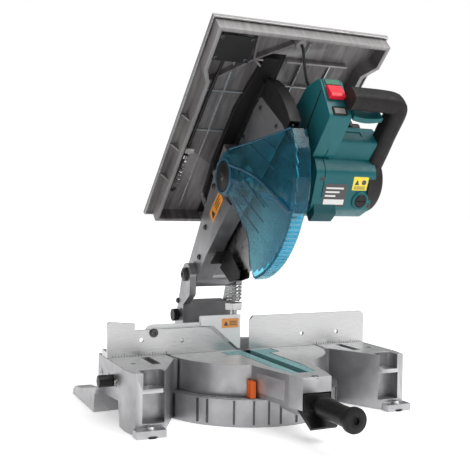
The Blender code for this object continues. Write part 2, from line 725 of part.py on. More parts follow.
def bevel_details(steel, black):
    back = BRACKET_FRONT + BRACKET_DEPTH - 0.004
    shaft = disc((0, WORK_HEIGHT), BEVEL_SHAFT_RADIUS, "Y", 0.114, back + 0.026, 20)
    piece("bevel_shaft", steel, None, [shaft])
    hub = disc((0, WORK_HEIGHT), 0.019, "Y", back + GAP, back + 0.016, 24)
    blade = box((-0.008, 0.008), (back + 0.004, back + 0.014), (WORK_HEIGHT - 0.060, WORK_HEIGHT))
    bore = disc((0, WORK_HEIGHT), BEVEL_SHAFT_RADIUS + GAP, "Y", 0.1, 0.3, 20)
    piece("bevel_lock_lever", black, None, [hub, blade], [bore])
    reach = BRACKET_HALF_WIDTH + GAP
    pin_sections = [
        (HINGE_PIN_RADIUS, -reach - 0.002, reach + 0.002),
        (0.012, -reach - 0.005, -reach),
        (0.012, reach, reach + 0.005),
    ]
    piece("hinge_pin", steel, None, stepped((HINGE_Y, HINGE_Z), "X", pin_sections, 24))
    knob_x = -BRACKET_HALF_WIDTH - GAP
    knob = disc(STOP_PIN, 0.011, "X", knob_x - 0.012, knob_x - 0.002, 20)
    stem = disc(STOP_PIN, 0.003, "X", knob_x - 0.004, -CHEEK_INNER - 0.001, 12)
    piece("stop_pin", black, None, [knob, stem])


# ---------------------------------------------------------------- head

def head_casting(look, head):
    """The arm, its hinge boss and the fixed case over the top of the blade, in one casting."""
    arm_side = [
        (0.005, 0.030),
        (-0.077, 0.047),
        (-0.189, 0.069),
        (-0.241, 0.075),
        (-0.241, 0.052),
        (-0.200, 0.046),
        (-0.186, 0.010),
        (-0.194, -0.016),
        (-0.060, -0.012),
        (0.000, -0.020),
        (0.010, 0.000),
    ]
    arm = prism(arm_side, "X", ARM_LEFT, -CASE_HALF_WIDTH + 0.001)
    cross_side = [(-0.058, 0.002), (-0.010, -0.017), (0.000, 0.019), (-0.055, 0.038)]
    cross = prism(cross_side, "X", ARM_LEFT + 0.001, -ARM_LEFT)
    boss = disc((0, 0), 0.022, "X", -ARM_BOSS_HALF_WIDTH, ARM_BOSS_HALF_WIDTH, 32)
    case_outline = [
        *arc(BLADE_AXIS, CASE_RIM_RADIUS + 0.0025, 195, 158, 8),
        (-0.310, 0.0765),
        (-0.180, 0.0765),
        (-0.075, 0.050),
        (-0.045, 0.042),
        (-0.045, -0.008),
        (-0.150, -0.015),
        (-0.226, -0.022),
    ]
    case = prism(case_outline, "X", -CASE_HALF_WIDTH, CASE_HALF_WIDTH)
    room_half = CASE_HALF_WIDTH - CASE_WALL
    room = disc(BLADE_AXIS, CASE_RIM_RADIUS, "X", -room_half, room_half, 64)
    knife_slot = box((-0.0014, 0.0014), (-0.080, -0.0515), (0.009, 0.080))
    hub_room = disc(BLADE_AXIS, HUB_RADIUS + 0.002, "X", ARM_LEFT - 0.01, 0, 32)
    spindle_room = disc(BLADE_AXIS, 0.024, "X", 0, 0.03, 32)
    pin_bore = disc((0, 0), HINGE_PIN_RADIUS + SLIDE_GAP, "X", -0.1, 0.1, 24)
    cuts = [hub_room, spindle_room, pin_bore, knife_slot]
    for y in POSTS_Y:
        cuts.append(disc((POST_X, y), POST_RADIUS + SLIDE_GAP, "Z", -0.004, 0.12, 20))
    piece("head_casting", look, head, [carved_mesh([case], [room]), arm, cross, boss], cuts)


def dust_chute(look, head):
    outline = [(-0.100, -0.0265), (-0.108, -0.080), (-0.098, -0.088), (-0.066, -0.070), (-0.050, -0.0265)]
    inner = [(-0.120, 0.0), (-0.120, -0.1), (-0.098, -0.1), (-0.070, -0.066), (-0.056, -0.02), (-0.056, 0.0)]
    shell = prism(outline, "X", -0.0100, 0.0100)
    room = prism(inner, "X", -0.0075, 0.0075)
    ears = box((-0.030, -0.008), (-0.090, -0.060), (-0.0265, -0.0235))
    piece("dust_chute", look, head, [shell, ears], [room])


def guard(name, look, parent, inner_half, rim_radius, start, end, hub):
    """A U-shaped guard sector about the blade axis. Its angles are degrees from the front, up positive."""
    first, last = 180 - end, 180 - start
    outer_radius = rim_radius + GUARD_WALL
    outer_half = inner_half + GUARD_WALL
    hub_inner, hub_outer, hub_left, hub_right = hub
    steps = max(6, int((last - first) / 5))
    near_hub = arc((0, 0), hub_outer - 0.001, last, first, steps)
    sector = [*arc((0, 0), outer_radius, first, last, steps), *near_hub]
    body = prism(sector, "X", -outer_half, outer_half)
    room_outline = [*arc((0, 0), rim_radius, first - 20, last + 20, steps + 4), (0, 0)]
    room = prism(room_outline, "X", -inner_half, inner_half)
    right_room = disc((0, 0), 0.047, "X", 0, outer_half + 0.01, 32)
    ring = tube((0, 0), hub_inner, hub_outer, "X", hub_left, hub_right, 32)
    piece(name, look, parent, [carved_mesh([body], [room, right_room]), ring])


def blade_group(parent, steel, bright, black):
    outline = []
    for i in range(BLADE_TEETH):
        for share, depth in ((0.0, 0), (0.12, TOOTH_DEPTH), (0.75, TOOTH_DEPTH / 3)):
            radius = BLADE_RADIUS - depth
            angle = 2 * math.pi * (i + share) / BLADE_TEETH
            outline.append((radius * math.cos(angle), radius * math.sin(angle)))
    half = BLADE_THICKNESS / 2
    bore = disc((0, 0), SPINDLE_RADIUS + GAP, "X", -0.01, 0.01, 24)
    piece("blade", bright, parent, [prism(outline, "X", -half, half)], [bore])
    flange_bore = SPINDLE_RADIUS + GAP
    outer = tube((0, 0), flange_bore, FLANGE_RADIUS, "X", -half - FLANGE_DEPTH, -half - GAP)
    inner = tube((0, 0), flange_bore, FLANGE_RADIUS, "X", half + GAP, half + FLANGE_DEPTH)
    piece("outer_flange", steel, parent, [outer])
    piece("inner_flange", steel, parent, [inner])
    bolt_face = -half - FLANGE_DEPTH - GAP - 0.003
    spindle_sections = [
        (SPINDLE_RADIUS, -0.009, 0.043),
        (SPINDLE_PULLEY_RADIUS, PULLEY_LEFT, PULLEY_LEFT + PULLEY_WIDTH),
    ]
    spindle = stepped((0, 0), "X", spindle_sections, 32)
    socket = disc((0, 0), 0.0043, "X", -0.02, 0.006, 12)
    piece("spindle", steel, parent, spindle, [socket])
    bolt_head = disc((0, 0), 0.010, "X", bolt_face - 0.008, bolt_face, 6)
    bolt_shank = disc((0, 0), 0.0035, "X", -0.014, 0.004, 12)
    piece("blade_bolt", steel, parent, [bolt_head, bolt_shank])


def belt_loop(round_spindle, round_motor):
    """The outline of a belt round two pulleys of the given radii."""
    along = Vector((BLADE_Y - MOTOR_Y, BLADE_Z - MOTOR_Z))
    lean = math.degrees(math.atan2(along.y, along.x))
    fall = math.degrees(math.asin((round_spindle - round_motor) / along.length))
    return [
        *arc(BLADE_AXIS, round_spindle, lean - 90 - fall, lean + 90 + fall, 16),
        *arc(MOTOR_AXIS, round_motor, lean + 90 + fall, lean + 270 - fall, 10),
    ]


def drive(head, teal, black, steel):
    """The belt housing, the belt and the spindle bearing."""
    shell_outline = belt_loop(HOUSING_ROUND_SPINDLE, HOUSING_ROUND_MOTOR)
    room_outline = belt_loop(HOUSING_ROUND_SPINDLE - HOUSING_WALL, HOUSING_ROUND_MOTOR - HOUSING_WALL)
    shell = prism(shell_outline, "X", DRIVE_LEFT, MOTOR_LEFT - GAP)
    room = prism(room_outline, "X", DRIVE_LEFT + 0.007, MOTOR_LEFT + 0.01)
    bore = disc(BLADE_AXIS, BEARING_RADIUS + GAP, "X", 0, 0.04, 32)
    piece("belt_housing", teal, head, [shell], [room, bore])
    bearing = tube(BLADE_AXIS, SPINDLE_RADIUS + GAP, BEARING_RADIUS, "X", DRIVE_LEFT, DRIVE_LEFT + 0.009, 32)
    piece("spindle_bearing", steel, head, [bearing])
    under = [radius + GAP for radius in (SPINDLE_PULLEY_RADIUS, MOTOR_PULLEY_RADIUS)]
    over = [radius + BELT_THICKNESS for radius in under]
    belt_outer = prism(belt_loop(*over), "X", PULLEY_LEFT, PULLEY_LEFT + PULLEY_WIDTH)
    belt_inner = prism(belt_loop(*under), "X", PULLEY_LEFT - 0.01, PULLEY_LEFT + 0.02)
    piece("drive_belt", black, head, [belt_outer], [belt_inner])


def motor(head, rotor_frame, teal, black, steel, copper):
    drum = disc(MOTOR_AXIS, MOTOR_RADIUS, "X", MOTOR_LEFT, MOTOR_RIGHT, 48)
    tower_side = [
        (TOWER_FRONT, TOWER_TOP),
        (TOWER_FRONT + TOWER_LEAN, TOWER_BOTTOM),
        (TOWER_BACK, TOWER_BOTTOM),
        (TOWER_BACK, 0.030),
        (-0.400, 0.030),
    ]
    tower = prism(tower_side, "X", TOWER_LEFT, TOWER_RIGHT)
    shelf_right = HANDLE_RIGHT - SIDE_BAR - GAP
    shelf = box((TOWER_RIGHT - OVERLAP, shelf_right), (-0.374, -0.320), (TOWER_BOTTOM, -0.018))
    room = disc(MOTOR_AXIS, MOTOR_RADIUS - MOTOR_WALL, "X", MOTOR_LEFT + 0.004, MOTOR_RIGHT + 0.01, 48)
    shaft_hole = disc(MOTOR_AXIS, 0.012, "X", 0, 0.1, 24)
    cuts = [room, shaft_hole]
    pocket_half = BUTTON_HALF + GAP
    for low, high, depth in BUTTON_POCKETS:
        cuts.append(face_box((-pocket_half, pocket_half), (-0.01, depth), (low - GAP, high + GAP)))
    for side in (-1, 1):
        cuts.append(brush_shape(side, BRUSH_RADIUS + GAP, 0.030, 0.020))
    rod_room = disc(LOCK_ROD, 0.0053, "X", TOWER_RIGHT - 0.010, 0.2, 16)
    cuts.append(rod_room)
    piece("motor_housing", teal, head, [drum, tower, shelf], cuts)
    inner = MOTOR_RADIUS - MOTOR_WALL - GAP
    piece("motor_stator", copper, head, [tube(MOTOR_AXIS, STATOR_RADIUS, inner, "X", 0.056, 0.104, 40)])
    rotor = stepped((0, 0), "X", [
        (SHAFT_RADIUS, 0.026, 0.142),
        (STATOR_RADIUS - 0.001, 0.058, 0.104),
        (0.014, 0.112, 0.124),
        (MOTOR_PULLEY_RADIUS, PULLEY_LEFT, PULLEY_LEFT + PULLEY_WIDTH),
    ], 24)
    piece("motor_rotor", steel, rotor_frame, rotor)
    for name, side in (("brush_cap_front", -1), ("brush_cap_back", 1)):
        piece(name, black, head, [brush_shape(side, BRUSH_RADIUS, 0.012, 0.0015)])


def brush_shape(side, radius, depth, proud):
    """A round cap let into the drum below the motor's axis, at the front or at the back."""
    angle = math.radians(-60 if side < 0 else 60)
    cap = disc((0.1165, 0.0), radius, "Z", -MOTOR_RADIUS - proud, -MOTOR_RADIUS + depth - proud, 20)
    cap.transform(Matrix.Translation((0, MOTOR_Y, MOTOR_Z)) @ Matrix.Rotation(angle, 4, "X"))
    return cap


def face_matrix():
    """From the frame of the leaning switch face, whose -Y points outwards, to the frame of the head."""
    middle_x = (TOWER_LEFT + TOWER_RIGHT) / 2
    middle = (middle_x, TOWER_FRONT + TOWER_LEAN / 2, (TOWER_TOP + TOWER_BOTTOM) / 2)
    return Matrix.Translation(middle) @ Matrix.Rotation(FACE_ANGLE, 4, "X")


def face_box(x, y, z):
    shape = box(x, y, z)
    shape.transform(face_matrix())
    return shape


def face_prism(outline, low, high):
    shape = prism(outline, "X", low, high)
    shape.transform(face_matrix())
    return shape


def switches(head, green, red, grey):
    (green_low, green_high, _), (red_low, red_high, _), (lock_low, lock_high, _) = BUTTON_POCKETS
    half = BUTTON_HALF - GAP
    start_key = face_box((-half, half), (-0.0025, 0.0045), (green_low + GAP, green_high - GAP))
    piece("start_button", green, head, [start_key])
    paddle = [
        (0.004, red_high - GAP),
        (-0.004, red_high - GAP),
        (-0.0085, red_low + 0.006),
        (-0.0085, red_low + GAP),
        (0.0025, red_low + GAP),
    ]
    piece("stop_paddle", red, head, [face_prism(paddle, -half, half)])
    lock_key = face_box((-0.009, 0.009), (-0.0015, 0.003), (lock_low + GAP, lock_high - GAP))
    piece("lock_off_button", grey, head, [lock_key])


def handle(head, black, teal):
    inner_back = HANDLE_FRONT + HANDLE_BAR
    side_left = HANDLE_RIGHT - SIDE_BAR
    bar = box((TOWER_RIGHT + GAP, HANDLE_RIGHT), (HANDLE_FRONT, inner_back), (HANDLE_BOTTOM, HANDLE_TOP))
    side_top = HANDLE_TOP - 0.004
    side_bar = box((side_left, HANDLE_RIGHT), (HANDLE_FRONT + 0.01, -0.300), (HANDLE_BOTTOM, side_top))
    cap = disc(MOTOR_AXIS, MOTOR_RADIUS, "X", MOTOR_RIGHT + GAP, HANDLE_RIGHT, 48)
    corner = prism(
        [
            (HANDLE_RIGHT + 0.01, HANDLE_FRONT + 0.020),
            (HANDLE_RIGHT - 0.020, HANDLE_FRONT - 0.01),
            (HANDLE_RIGHT + 0.01, HANDLE_FRONT - 0.01),
        ],
        "Z",
        -0.1,
        0.1,
    )
    bay = box((0.071, 0.123), (inner_back - 0.0065, inner_back + 0.01), (-0.0515, -0.0285))
    shaft_seat = disc(MOTOR_AXIS, SHAFT_RADIUS + GAP, "X", 0.1, 0.144, 20)
    drum_room = disc(MOTOR_AXIS, MOTOR_RADIUS + GAP, "X", 0.1, MOTOR_RIGHT + 0.00025, 48)
    bars = carved_mesh([bar, side_bar], [corner, bay, drum_room])
    piece("handle", black, head, [bars, cap], [shaft_seat])
    trigger_side = [
        (inner_back - 0.0010, -0.0500),
        (inner_back + 0.0065, -0.0500),
        (inner_back + 0.0085, -0.0420),
        (inner_back + 0.0065, -0.0300),
        (inner_back - 0.0010, -0.0300),
    ]
    piece("trigger", teal, head, [prism(trigger_side, "X", 0.0725, 0.1215)])


def table_lock(head, steel, black):
    rod = stepped(LOCK_ROD, "X", [(0.005, TOWER_RIGHT - 0.008, 0.126)], 20)
    piece("table_lock_rod", steel, head, rod)
    flange = disc(LOCK_ROD, 0.0150, "X", 0.108, 0.113, 28)
    knob = disc(LOCK_ROD, 0.0088, "X", 0.112, 0.130, 24)
    bore = disc(LOCK_ROD, 0.005 + GAP, "X", 0.1, 0.1265, 20)
    piece("table_lock_knob", black, head, [flange, knob], [bore])


def riving_knife(head, steel, clear, black):
    outline = [
        (-0.066, 0.010),
        (-0.052, 0.010),
        (-0.056, 0.060),
        (-0.064, 0.110),
        (-0.056, 0.165),
        (-0.070, 0.180),
        (-0.098, 0.150),
        (-0.088, 0.100),
        (-0.067, 0.050),
    ]
    pivot_hole = disc(COVER_PIVOT, PIVOT_RADIUS + GAP, "X", -0.01, 0.01, 16)
    piece("riving_knife", steel, head, [prism(outline, "X", -0.0011, 0.0011)], [pivot_hole])
    cover_side = [
        (-0.404, 0.186),
        (-0.398, 0.150),
        (-0.058, 0.150),
        (-0.050, 0.165),
        (-0.066, 0.188),
        (-0.110, 0.205),
        (-0.372, 0.233),
    ]
    room_side = [
        (-0.402, 0.184),
        (-0.396, 0.140),
        (-0.040, 0.140),
        (-0.040, 0.183),
        (-0.069, 0.186),
        (-0.110, 0.203),
        (-0.371, 0.231),
    ]
    shell = prism(cover_side, "X", -0.010, 0.010)
    room = prism(room_side, "X", -0.008, 0.008)
    hole = disc(COVER_PIVOT, PIVOT_RADIUS + GAP, "X", -0.02, 0.02, 16)
    piece("top_cover", clear, head, [shell], [room, hole])
    pin_sections = [
        (PIVOT_RADIUS, -0.0108, 0.0108),
        (2 * PIVOT_RADIUS, 0.0103, 0.0128),
        (2 * PIVOT_RADIUS, -0.0128, -0.0103),
    ]
    piece("cover_pin", black, head, stepped(COVER_PIVOT, "X", pin_sections, 16))


# ---------------------------------------------------------------- upper table


def skirt_outline():
    """The outer edge of the wall below the table: full width at the front and set in behind."""
    return [
        (TABLE_LEFT + 0.004, TABLE_FRONT + 0.004),
        (TABLE_RIGHT - 0.004, TABLE_FRONT + 0.004),
        (TABLE_RIGHT - 0.004, -0.413),
        (TABLE_RIGHT - 0.010 - SKIRT_INSET, -0.393),
        (TABLE_RIGHT - 0.010 - SKIRT_INSET, TABLE_BACK - 0.006),
        (TABLE_LEFT + SKIRT_INSET, TABLE_BACK - 0.006),
        (TABLE_LEFT + SKIRT_INSET, -0.357),
        (TABLE_LEFT + 0.004, -0.379),
    ]


def rib(start, end, low):
    """A straight rib on the underside of the table between two (x, y) points."""
    start, end = Vector(start), Vector(end)
    along = (end - start).normalized()
    across = Vector((-along.y, along.x)) * RIB_WALL / 2
    corners = [start + across, end + across, end - across, start - across]
    return prism([tuple(point) for point in corners], "Z", low, TABLE_UNDER + 0.001)


def upper_table(look, head):
    plate = box((TABLE_LEFT, TABLE_RIGHT), (TABLE_FRONT, TABLE_BACK), (TABLE_UNDER, TABLE_TOP))
    outline = skirt_outline()
    skirt = prism(outline, "Z", SKIRT_BOTTOM, TABLE_UNDER + 0.001)
    hollow = prism(inset(outline, SKIRT_WALL), "Z", SKIRT_BOTTOM - 0.01, TABLE_UNDER)
    node = (-0.035, -0.398)
    ends = [(0.027, -0.436), (0.126, -0.400), (-0.100, -0.345), (-0.045, -0.452), (0.090, -0.300)]
    shapes = [carved_mesh([skirt], [hollow])]
    shapes += [rib(node, end, TABLE_UNDER - 0.010) for end in ends]
    shapes.append(plate)
    shapes.append(disc((0.027, -0.436), 0.008, "Z", TABLE_UNDER - 0.016, TABLE_UNDER + 0.001, 20))
    walls = (
        (TABLE_LEFT + SKIRT_INSET + 0.002, TABLE_LEFT + 0.002),
        (TABLE_RIGHT - 0.012 - SKIRT_INSET, TABLE_RIGHT - 0.002),
    )
    for y in (-0.277, -0.214, -0.147):
        for wall, edge in walls:
            gusset = [(wall, TABLE_UNDER + 0.001), (edge, TABLE_UNDER + 0.001), (wall, SKIRT_BOTTOM + 0.003)]
            shapes.append(prism(gusset, "Y", y - 0.0015, y + 0.0015))
    for place in PLATE_POSTS:
        shapes.append(disc(place, 0.004, "Z", SKIRT_BOTTOM + 0.003 + GAP, TABLE_UNDER + 0.001, 12))
    shapes.append(box((-0.094, -0.080), (-0.222, -0.212), (0.0805, TABLE_UNDER + 0.001)))
    cuts = [disc((-0.0895, LINK_Z), LINK_RADIUS + SLIDE_GAP, "Y", -0.24, -0.20, 12)]
    seat_half = INSERT_HALF_WIDTH + GAP
    cuts.append(box((-seat_half, seat_half), (INSERT_FRONT - GAP, INSERT_BACK + GAP), (0.0, 0.2)))
    for y in POSTS_Y:
        cuts.append(disc((POST_X, y), POST_RADIUS + GAP, "Z", 0.0, 0.2, 20))
    piece("upper_table", look, head, shapes, cuts)


def table_details(head, black, steel, dark):
    seat_half = INSERT_HALF_WIDTH
    insert = box((-seat_half, seat_half), (INSERT_FRONT, INSERT_BACK), (TABLE_UNDER + GAP, TABLE_TOP))
    slit = box((-SLIT_HALF_WIDTH, SLIT_HALF_WIDTH), (-0.397, SLIT_BACK), (0.0, 0.2))
    piece("table_insert", dark, head, [insert], [slit])
    for name, y in zip(("table_post_front", "table_post_back"), POSTS_Y):
        piece(name, steel, head, [disc((POST_X, y), POST_RADIUS, "Z", 0.0, TABLE_UNDER - SLIDE_GAP, 20)])
    plate = box((-0.108, -0.050), (-0.443, -0.398), (SKIRT_BOTTOM + 0.0005, SKIRT_BOTTOM + 0.003))
    piece("cover_plate", black, head, [plate])
    route = [
        (-0.0850, -0.397),
        (-0.0880, -0.330),
        (-0.0895, -0.225),
        (-0.0895, -0.205),
        (-0.0925, -0.170),
        (-0.0950, -0.135),
        (-0.0940, -0.126),
        (-0.0890, -0.122),
        (-0.0855, -0.127),
    ]
    rod = [(x, y, LINK_Z) for x, y in route]
    piece("link_rod", black, head, [sweep(smooth(rod, 3), LINK_RADIUS, 8)])
    points = coil((-0.083, -0.205, 0.0935), (-0.083, -0.130, 0.0935), 0.0032, 9, 7)
    piece("tension_spring", steel, head, [sweep(points, 0.0009, 4)])


def control_cable(head, black):
    route = [
        (0.0270, -0.4360, TABLE_UNDER - 0.0165),
        (0.0268, -0.4340, 0.0740),
        (0.0262, -0.4270, 0.0600),
        (0.0275, -0.4170, 0.0480),
        (0.0330, -0.4050, 0.0420),
        (0.0400, -0.3960, 0.0400),
        (0.0430, -0.3900, 0.0345),
        (0.0430, -0.3900, 0.0304),
    ]
    piece("control_cable", black, head, [sweep(smooth(route, 4), 0.0022, 8)])


def build():
    clear_scene()
    cast = finish("cast_aluminium", (0.60, 0.60, 0.61), 0.45, 0.75)
    white = finish("painted_white", (0.80, 0.80, 0.80), 0.40, 0.2)
    dark_cast = finish("painted_cast", (0.30, 0.29, 0.30), 0.50, 0.5)
    teal = finish("teal_plastic", (0.010, 0.130, 0.150), 0.35)
    teal_clear = finish("teal_clear", (0.050, 0.350, 0.450), 0.15, 0.0, 0.6)
    black = finish("black_plastic", (0.020, 0.018, 0.018), 0.45)
    steel = finish("steel", (0.55, 0.55, 0.56), 0.30, 1.0)
    bright = finish("blade_steel", (0.75, 0.75, 0.76), 0.25, 1.0)
    orange = finish("orange_paint", (0.80, 0.18, 0.02), 0.45)
    green = finish("green_plastic", (0.01, 0.18, 0.09), 0.40)
    red = finish("red_plastic", (0.75, 0.02, 0.04), 0.35)
    grey = finish("grey_plastic", (0.30, 0.28, 0.28), 0.50)
    copper = finish("copper_winding", (0.55, 0.25, 0.12), 0.40, 0.8)

    base_casting(cast)
    base_details(cast, black, steel)
    fence("left", cast)
    fence("right", cast)
    sub_fence(white, black)
    fence_bolts(steel)

    turntable(cast)
    turntable_details(teal_clear, orange, black, steel)
    return_spring(steel)
    bevel_bracket(cast)
    bevel_details(steel, black)

    head = frame_at("head_frame", (0, HINGE_Y, HINGE_Z), -HEAD_RAISED)
    blade_frame = frame_at("blade_frame", (0, BLADE_Y, BLADE_Z), 0.0, head)
    rotor_frame = frame_at("rotor_frame", (0, MOTOR_Y, MOTOR_Z), 0.0, head)
    head_casting(cast, head)
    dust_chute(black, head)
    blade_group(blade_frame, steel, bright, black)
    upper_hub = (HUB_OUTER_INNER, HUB_RADIUS, -HUB_REACH, -UPPER_GUARD_INNER)
    lower_hub = (FLANGE_RADIUS + 0.0015, HUB_INNER_OUTER, -HUB_REACH + 0.006, -LOWER_GUARD_INNER)
    guard("guard_upper", teal_clear, blade_frame, UPPER_GUARD_INNER, UPPER_GUARD_RIM, -62, -20, upper_hub)
    guard("guard_lower", teal_clear, blade_frame, LOWER_GUARD_INNER, LOWER_GUARD_RIM, -118, -58, lower_hub)
    cap = disc((0, 0), HUB_OUTER_INNER - GAP, "X", -HUB_REACH - 0.001, -HUB_REACH + 0.004, 32)
    piece("hub_cap", black, blade_frame, [cap])
    drive(head, teal, black, steel)
    motor(head, rotor_frame, teal, black, steel, copper)
    switches(head, green, red, grey)
    handle(head, black, teal)
    table_lock(head, steel, black)
    riving_knife(head, steel, teal_clear, black)
    upper_table(dark_cast, head)
    table_details(head, black, steel, black)
    control_cable(head, black)


build()
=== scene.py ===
"""The looks of the table-top mitre saw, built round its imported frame. Metres, +Z up.

The head's pieces are drawn in the frame of the lowered head, whose origin is the hinge pin: x to the right,
y back and z up. The matrix HEAD turns them up with the head, as the frame has them at rest.
"""

import json
import math

import bmesh
import bpy
from mathutils import Matrix, Vector

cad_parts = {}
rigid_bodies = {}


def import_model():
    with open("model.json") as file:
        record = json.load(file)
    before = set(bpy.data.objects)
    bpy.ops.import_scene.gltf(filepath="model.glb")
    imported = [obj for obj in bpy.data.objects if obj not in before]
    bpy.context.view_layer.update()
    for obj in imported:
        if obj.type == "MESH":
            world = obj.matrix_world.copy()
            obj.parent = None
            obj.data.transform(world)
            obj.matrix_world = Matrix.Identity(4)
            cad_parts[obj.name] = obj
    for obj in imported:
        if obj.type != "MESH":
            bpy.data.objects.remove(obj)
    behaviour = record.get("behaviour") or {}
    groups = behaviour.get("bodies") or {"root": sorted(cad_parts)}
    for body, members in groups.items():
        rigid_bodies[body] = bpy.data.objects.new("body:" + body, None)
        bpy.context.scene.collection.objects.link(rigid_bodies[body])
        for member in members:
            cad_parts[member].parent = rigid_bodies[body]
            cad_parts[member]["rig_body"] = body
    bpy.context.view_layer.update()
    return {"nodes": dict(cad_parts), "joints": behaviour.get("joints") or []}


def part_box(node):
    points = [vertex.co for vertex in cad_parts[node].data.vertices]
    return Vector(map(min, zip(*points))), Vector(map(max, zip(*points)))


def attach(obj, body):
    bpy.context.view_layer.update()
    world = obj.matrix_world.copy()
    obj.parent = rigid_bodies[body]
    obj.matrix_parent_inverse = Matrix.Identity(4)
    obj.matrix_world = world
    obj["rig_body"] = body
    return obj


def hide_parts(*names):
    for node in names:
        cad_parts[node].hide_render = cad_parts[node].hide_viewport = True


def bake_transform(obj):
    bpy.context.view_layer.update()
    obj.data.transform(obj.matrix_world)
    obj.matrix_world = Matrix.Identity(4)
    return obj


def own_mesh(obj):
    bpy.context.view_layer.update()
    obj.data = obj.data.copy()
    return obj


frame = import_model()
JOINTS = {joint["name"]: joint for joint in frame["joints"]}

# The frame of the head
HINGE = Vector(JOINTS["head_pivot"]["pos_m"])
RAISED = math.radians(43)
HEAD = Matrix.Translation(HINGE) @ Matrix.Rotation(-RAISED, 4, "X")
BLADE_AXIS = HEAD.inverted() @ Vector(JOINTS["blade_spin"]["pos_m"])
MOTOR_AXIS = HEAD.inverted() @ Vector(JOINTS["rotor_spin"]["pos_m"])
WORK_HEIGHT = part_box("kerf_board_left")[1].z

# The camera, low in front of the saw and to the left of its operator
CAMERA_PLACE = Vector((-0.5485, -1.1458, 0.3076))
CAMERA_YAW = math.radians(24.75)
CAMERA_PITCH = math.radians(-1.557)
CAMERA_ROLL = math.radians(0.819)
CAMERA_LENS = 60.06
SENSOR_WIDTH = 36

# Edges flatter than this stay smooth, and only sharper ones are rounded
SOFT_EDGE = math.radians(32)

# Labels and the print on them, above the face that they are on
STICKER_CORNER = 0.0012
STICKER_TOP = 0.0003
PRINT = (STICKER_TOP, 0.0006)
MOTOR_PRINT = (STICKER_TOP, 0.0005)

# The coil behind the fence, on the pin's lowered cap
SPRING_Y = 0.045
SPRING_SPAN = (0.1612, 0.1895)
SPRING_RADIUS = 0.0116
SPRING_WIRE = 0.0016
SPRING_TURNS = 5


# ---------------- materials


class Paint:
    """A node tree with a Principled shader, and short calls for the nodes that the materials share."""

    def __init__(self, name):
        self.material = bpy.data.materials.new(name)
        self.material.use_nodes = True
        self.tree = self.material.node_tree
        self.shader = self.tree.nodes["Principled BSDF"]
        self.place = self.tree.nodes.new("ShaderNodeTexCoord").outputs["Object"]

    def set(self, **values):
        for name, value in values.items():
            self.shader.inputs[name.replace("_", " ")].default_value = value
        return self

    def link(self, output, socket):
        self.tree.links.new(output, self.shader.inputs[socket])

    def stretched(self, scale):
        """The object's own coordinates, scaled differently along X, Y and Z."""
        node = self.tree.nodes.new("ShaderNodeMapping")
        node.inputs["Scale"].default_value = scale
        self.tree.links.new(self.place, node.inputs["Vector"])
        return node.outputs["Vector"]

    def noise(self, scale, detail=3.0, stretch=None):
        node = self.tree.nodes.new("ShaderNodeTexNoise")
        node.inputs["Scale"].default_value = scale
        node.inputs["Detail"].default_value = detail
        source = self.stretched(stretch) if stretch else self.place
        self.tree.links.new(source, node.inputs["Vector"])
        return node.outputs["Fac"]

    def ramp(self, value, low, high, start=0.3, end=0.7):
        """A colour ramp between two colours, or a grey one between two numbers."""
        node = self.tree.nodes.new("ShaderNodeValToRGB")
        for stop, place, colour in zip(node.color_ramp.elements, (start, end), (low, high)):
            stop.position = place
            stop.color = (*colour, 1.0) if isinstance(colour, tuple) else (colour, colour, colour, 1.0)
        self.tree.links.new(value, node.inputs["Fac"])
        return node.outputs["Color"]

    def bump(self, value, distance, strength=1.0):
        node = self.tree.nodes.new("ShaderNodeBump")
        node.inputs["Strength"].default_value = strength
        node.inputs["Distance"].default_value = distance
        self.tree.links.new(value, node.inputs["Height"])
        self.link(node.outputs["Normal"], "Normal")
        return self

    def edge_wear_and_highlight(self, base, bare, amount=0.5):
        """The base colour with the bare colour along sharp edges, where the finish has rubbed off. On the
        table casting this light edge colour is a painted highlight on the rib edges instead.
        """
        geometry = self.tree.nodes.new("ShaderNodeNewGeometry")
        edge = self.ramp(geometry.outputs["Pointiness"], 0.0, amount, 0.52, 0.62)
        mix = self.tree.nodes.new("ShaderNodeMix")
        mix.data_type = "RGBA"
        self.tree.links.new(edge, mix.inputs["Factor"])
        self.tree.links.new(base, mix.inputs[6])
        mix.inputs[7].default_value = (*bare, 1.0)
        self.link(mix.outputs[2], "Base Color")
        return self


def cast_paint():
    """Silver paint on sand-cast aluminium: fine metallic flake over a slightly uneven skin."""
    paint = Paint("cast_paint").set(Metallic=0.85, Coat_Weight=0.15, Coat_Roughness=0.30)
    colour = paint.ramp(paint.noise(34, 6), (0.27, 0.265, 0.275), (0.37, 0.365, 0.375))
    paint.edge_wear_and_highlight(colour, (0.80, 0.80, 0.81))
    paint.link(paint.ramp(paint.noise(90, 4), 0.28, 0.44), "Roughness")
    return paint.bump(paint.noise(900, 2), 0.00025, 0.35).material


def machined(name, stretch, bright=0.74):
    """Milled aluminium: streaks along the cut."""
    paint = Paint(name).set(Metallic=0.85)
    streaks = paint.noise(60, 5, stretch)
    paint.link(paint.ramp(streaks, (bright - 0.10,) * 3, (bright + 0.10,) * 3), "Base Color")
    paint.link(paint.ramp(streaks, 0.24, 0.44), "Roughness")
    return paint.bump(streaks, 0.00008, 0.25).material


def table_cast():
    """The bare casting under the upper table: dull warm grey with drawn streaks."""
    paint = Paint("table_cast").set(Metallic=0.45)
    streaks = paint.noise(16, 8, (9.0, 1.0, 1.0))
    colour = paint.ramp(streaks, (0.105, 0.098, 0.100), (0.255, 0.240, 0.240), 0.25, 0.78)
    # The light grey along the sharp edges here is a painted highlight, where the rib edges catch the light.
    paint.edge_wear_and_highlight(colour, (0.62, 0.60, 0.60), 0.8)
    paint.link(paint.ramp(paint.noise(60, 4), 0.42, 0.62), "Roughness")
    return paint.bump(paint.noise(420, 3), 0.0004, 0.4).material


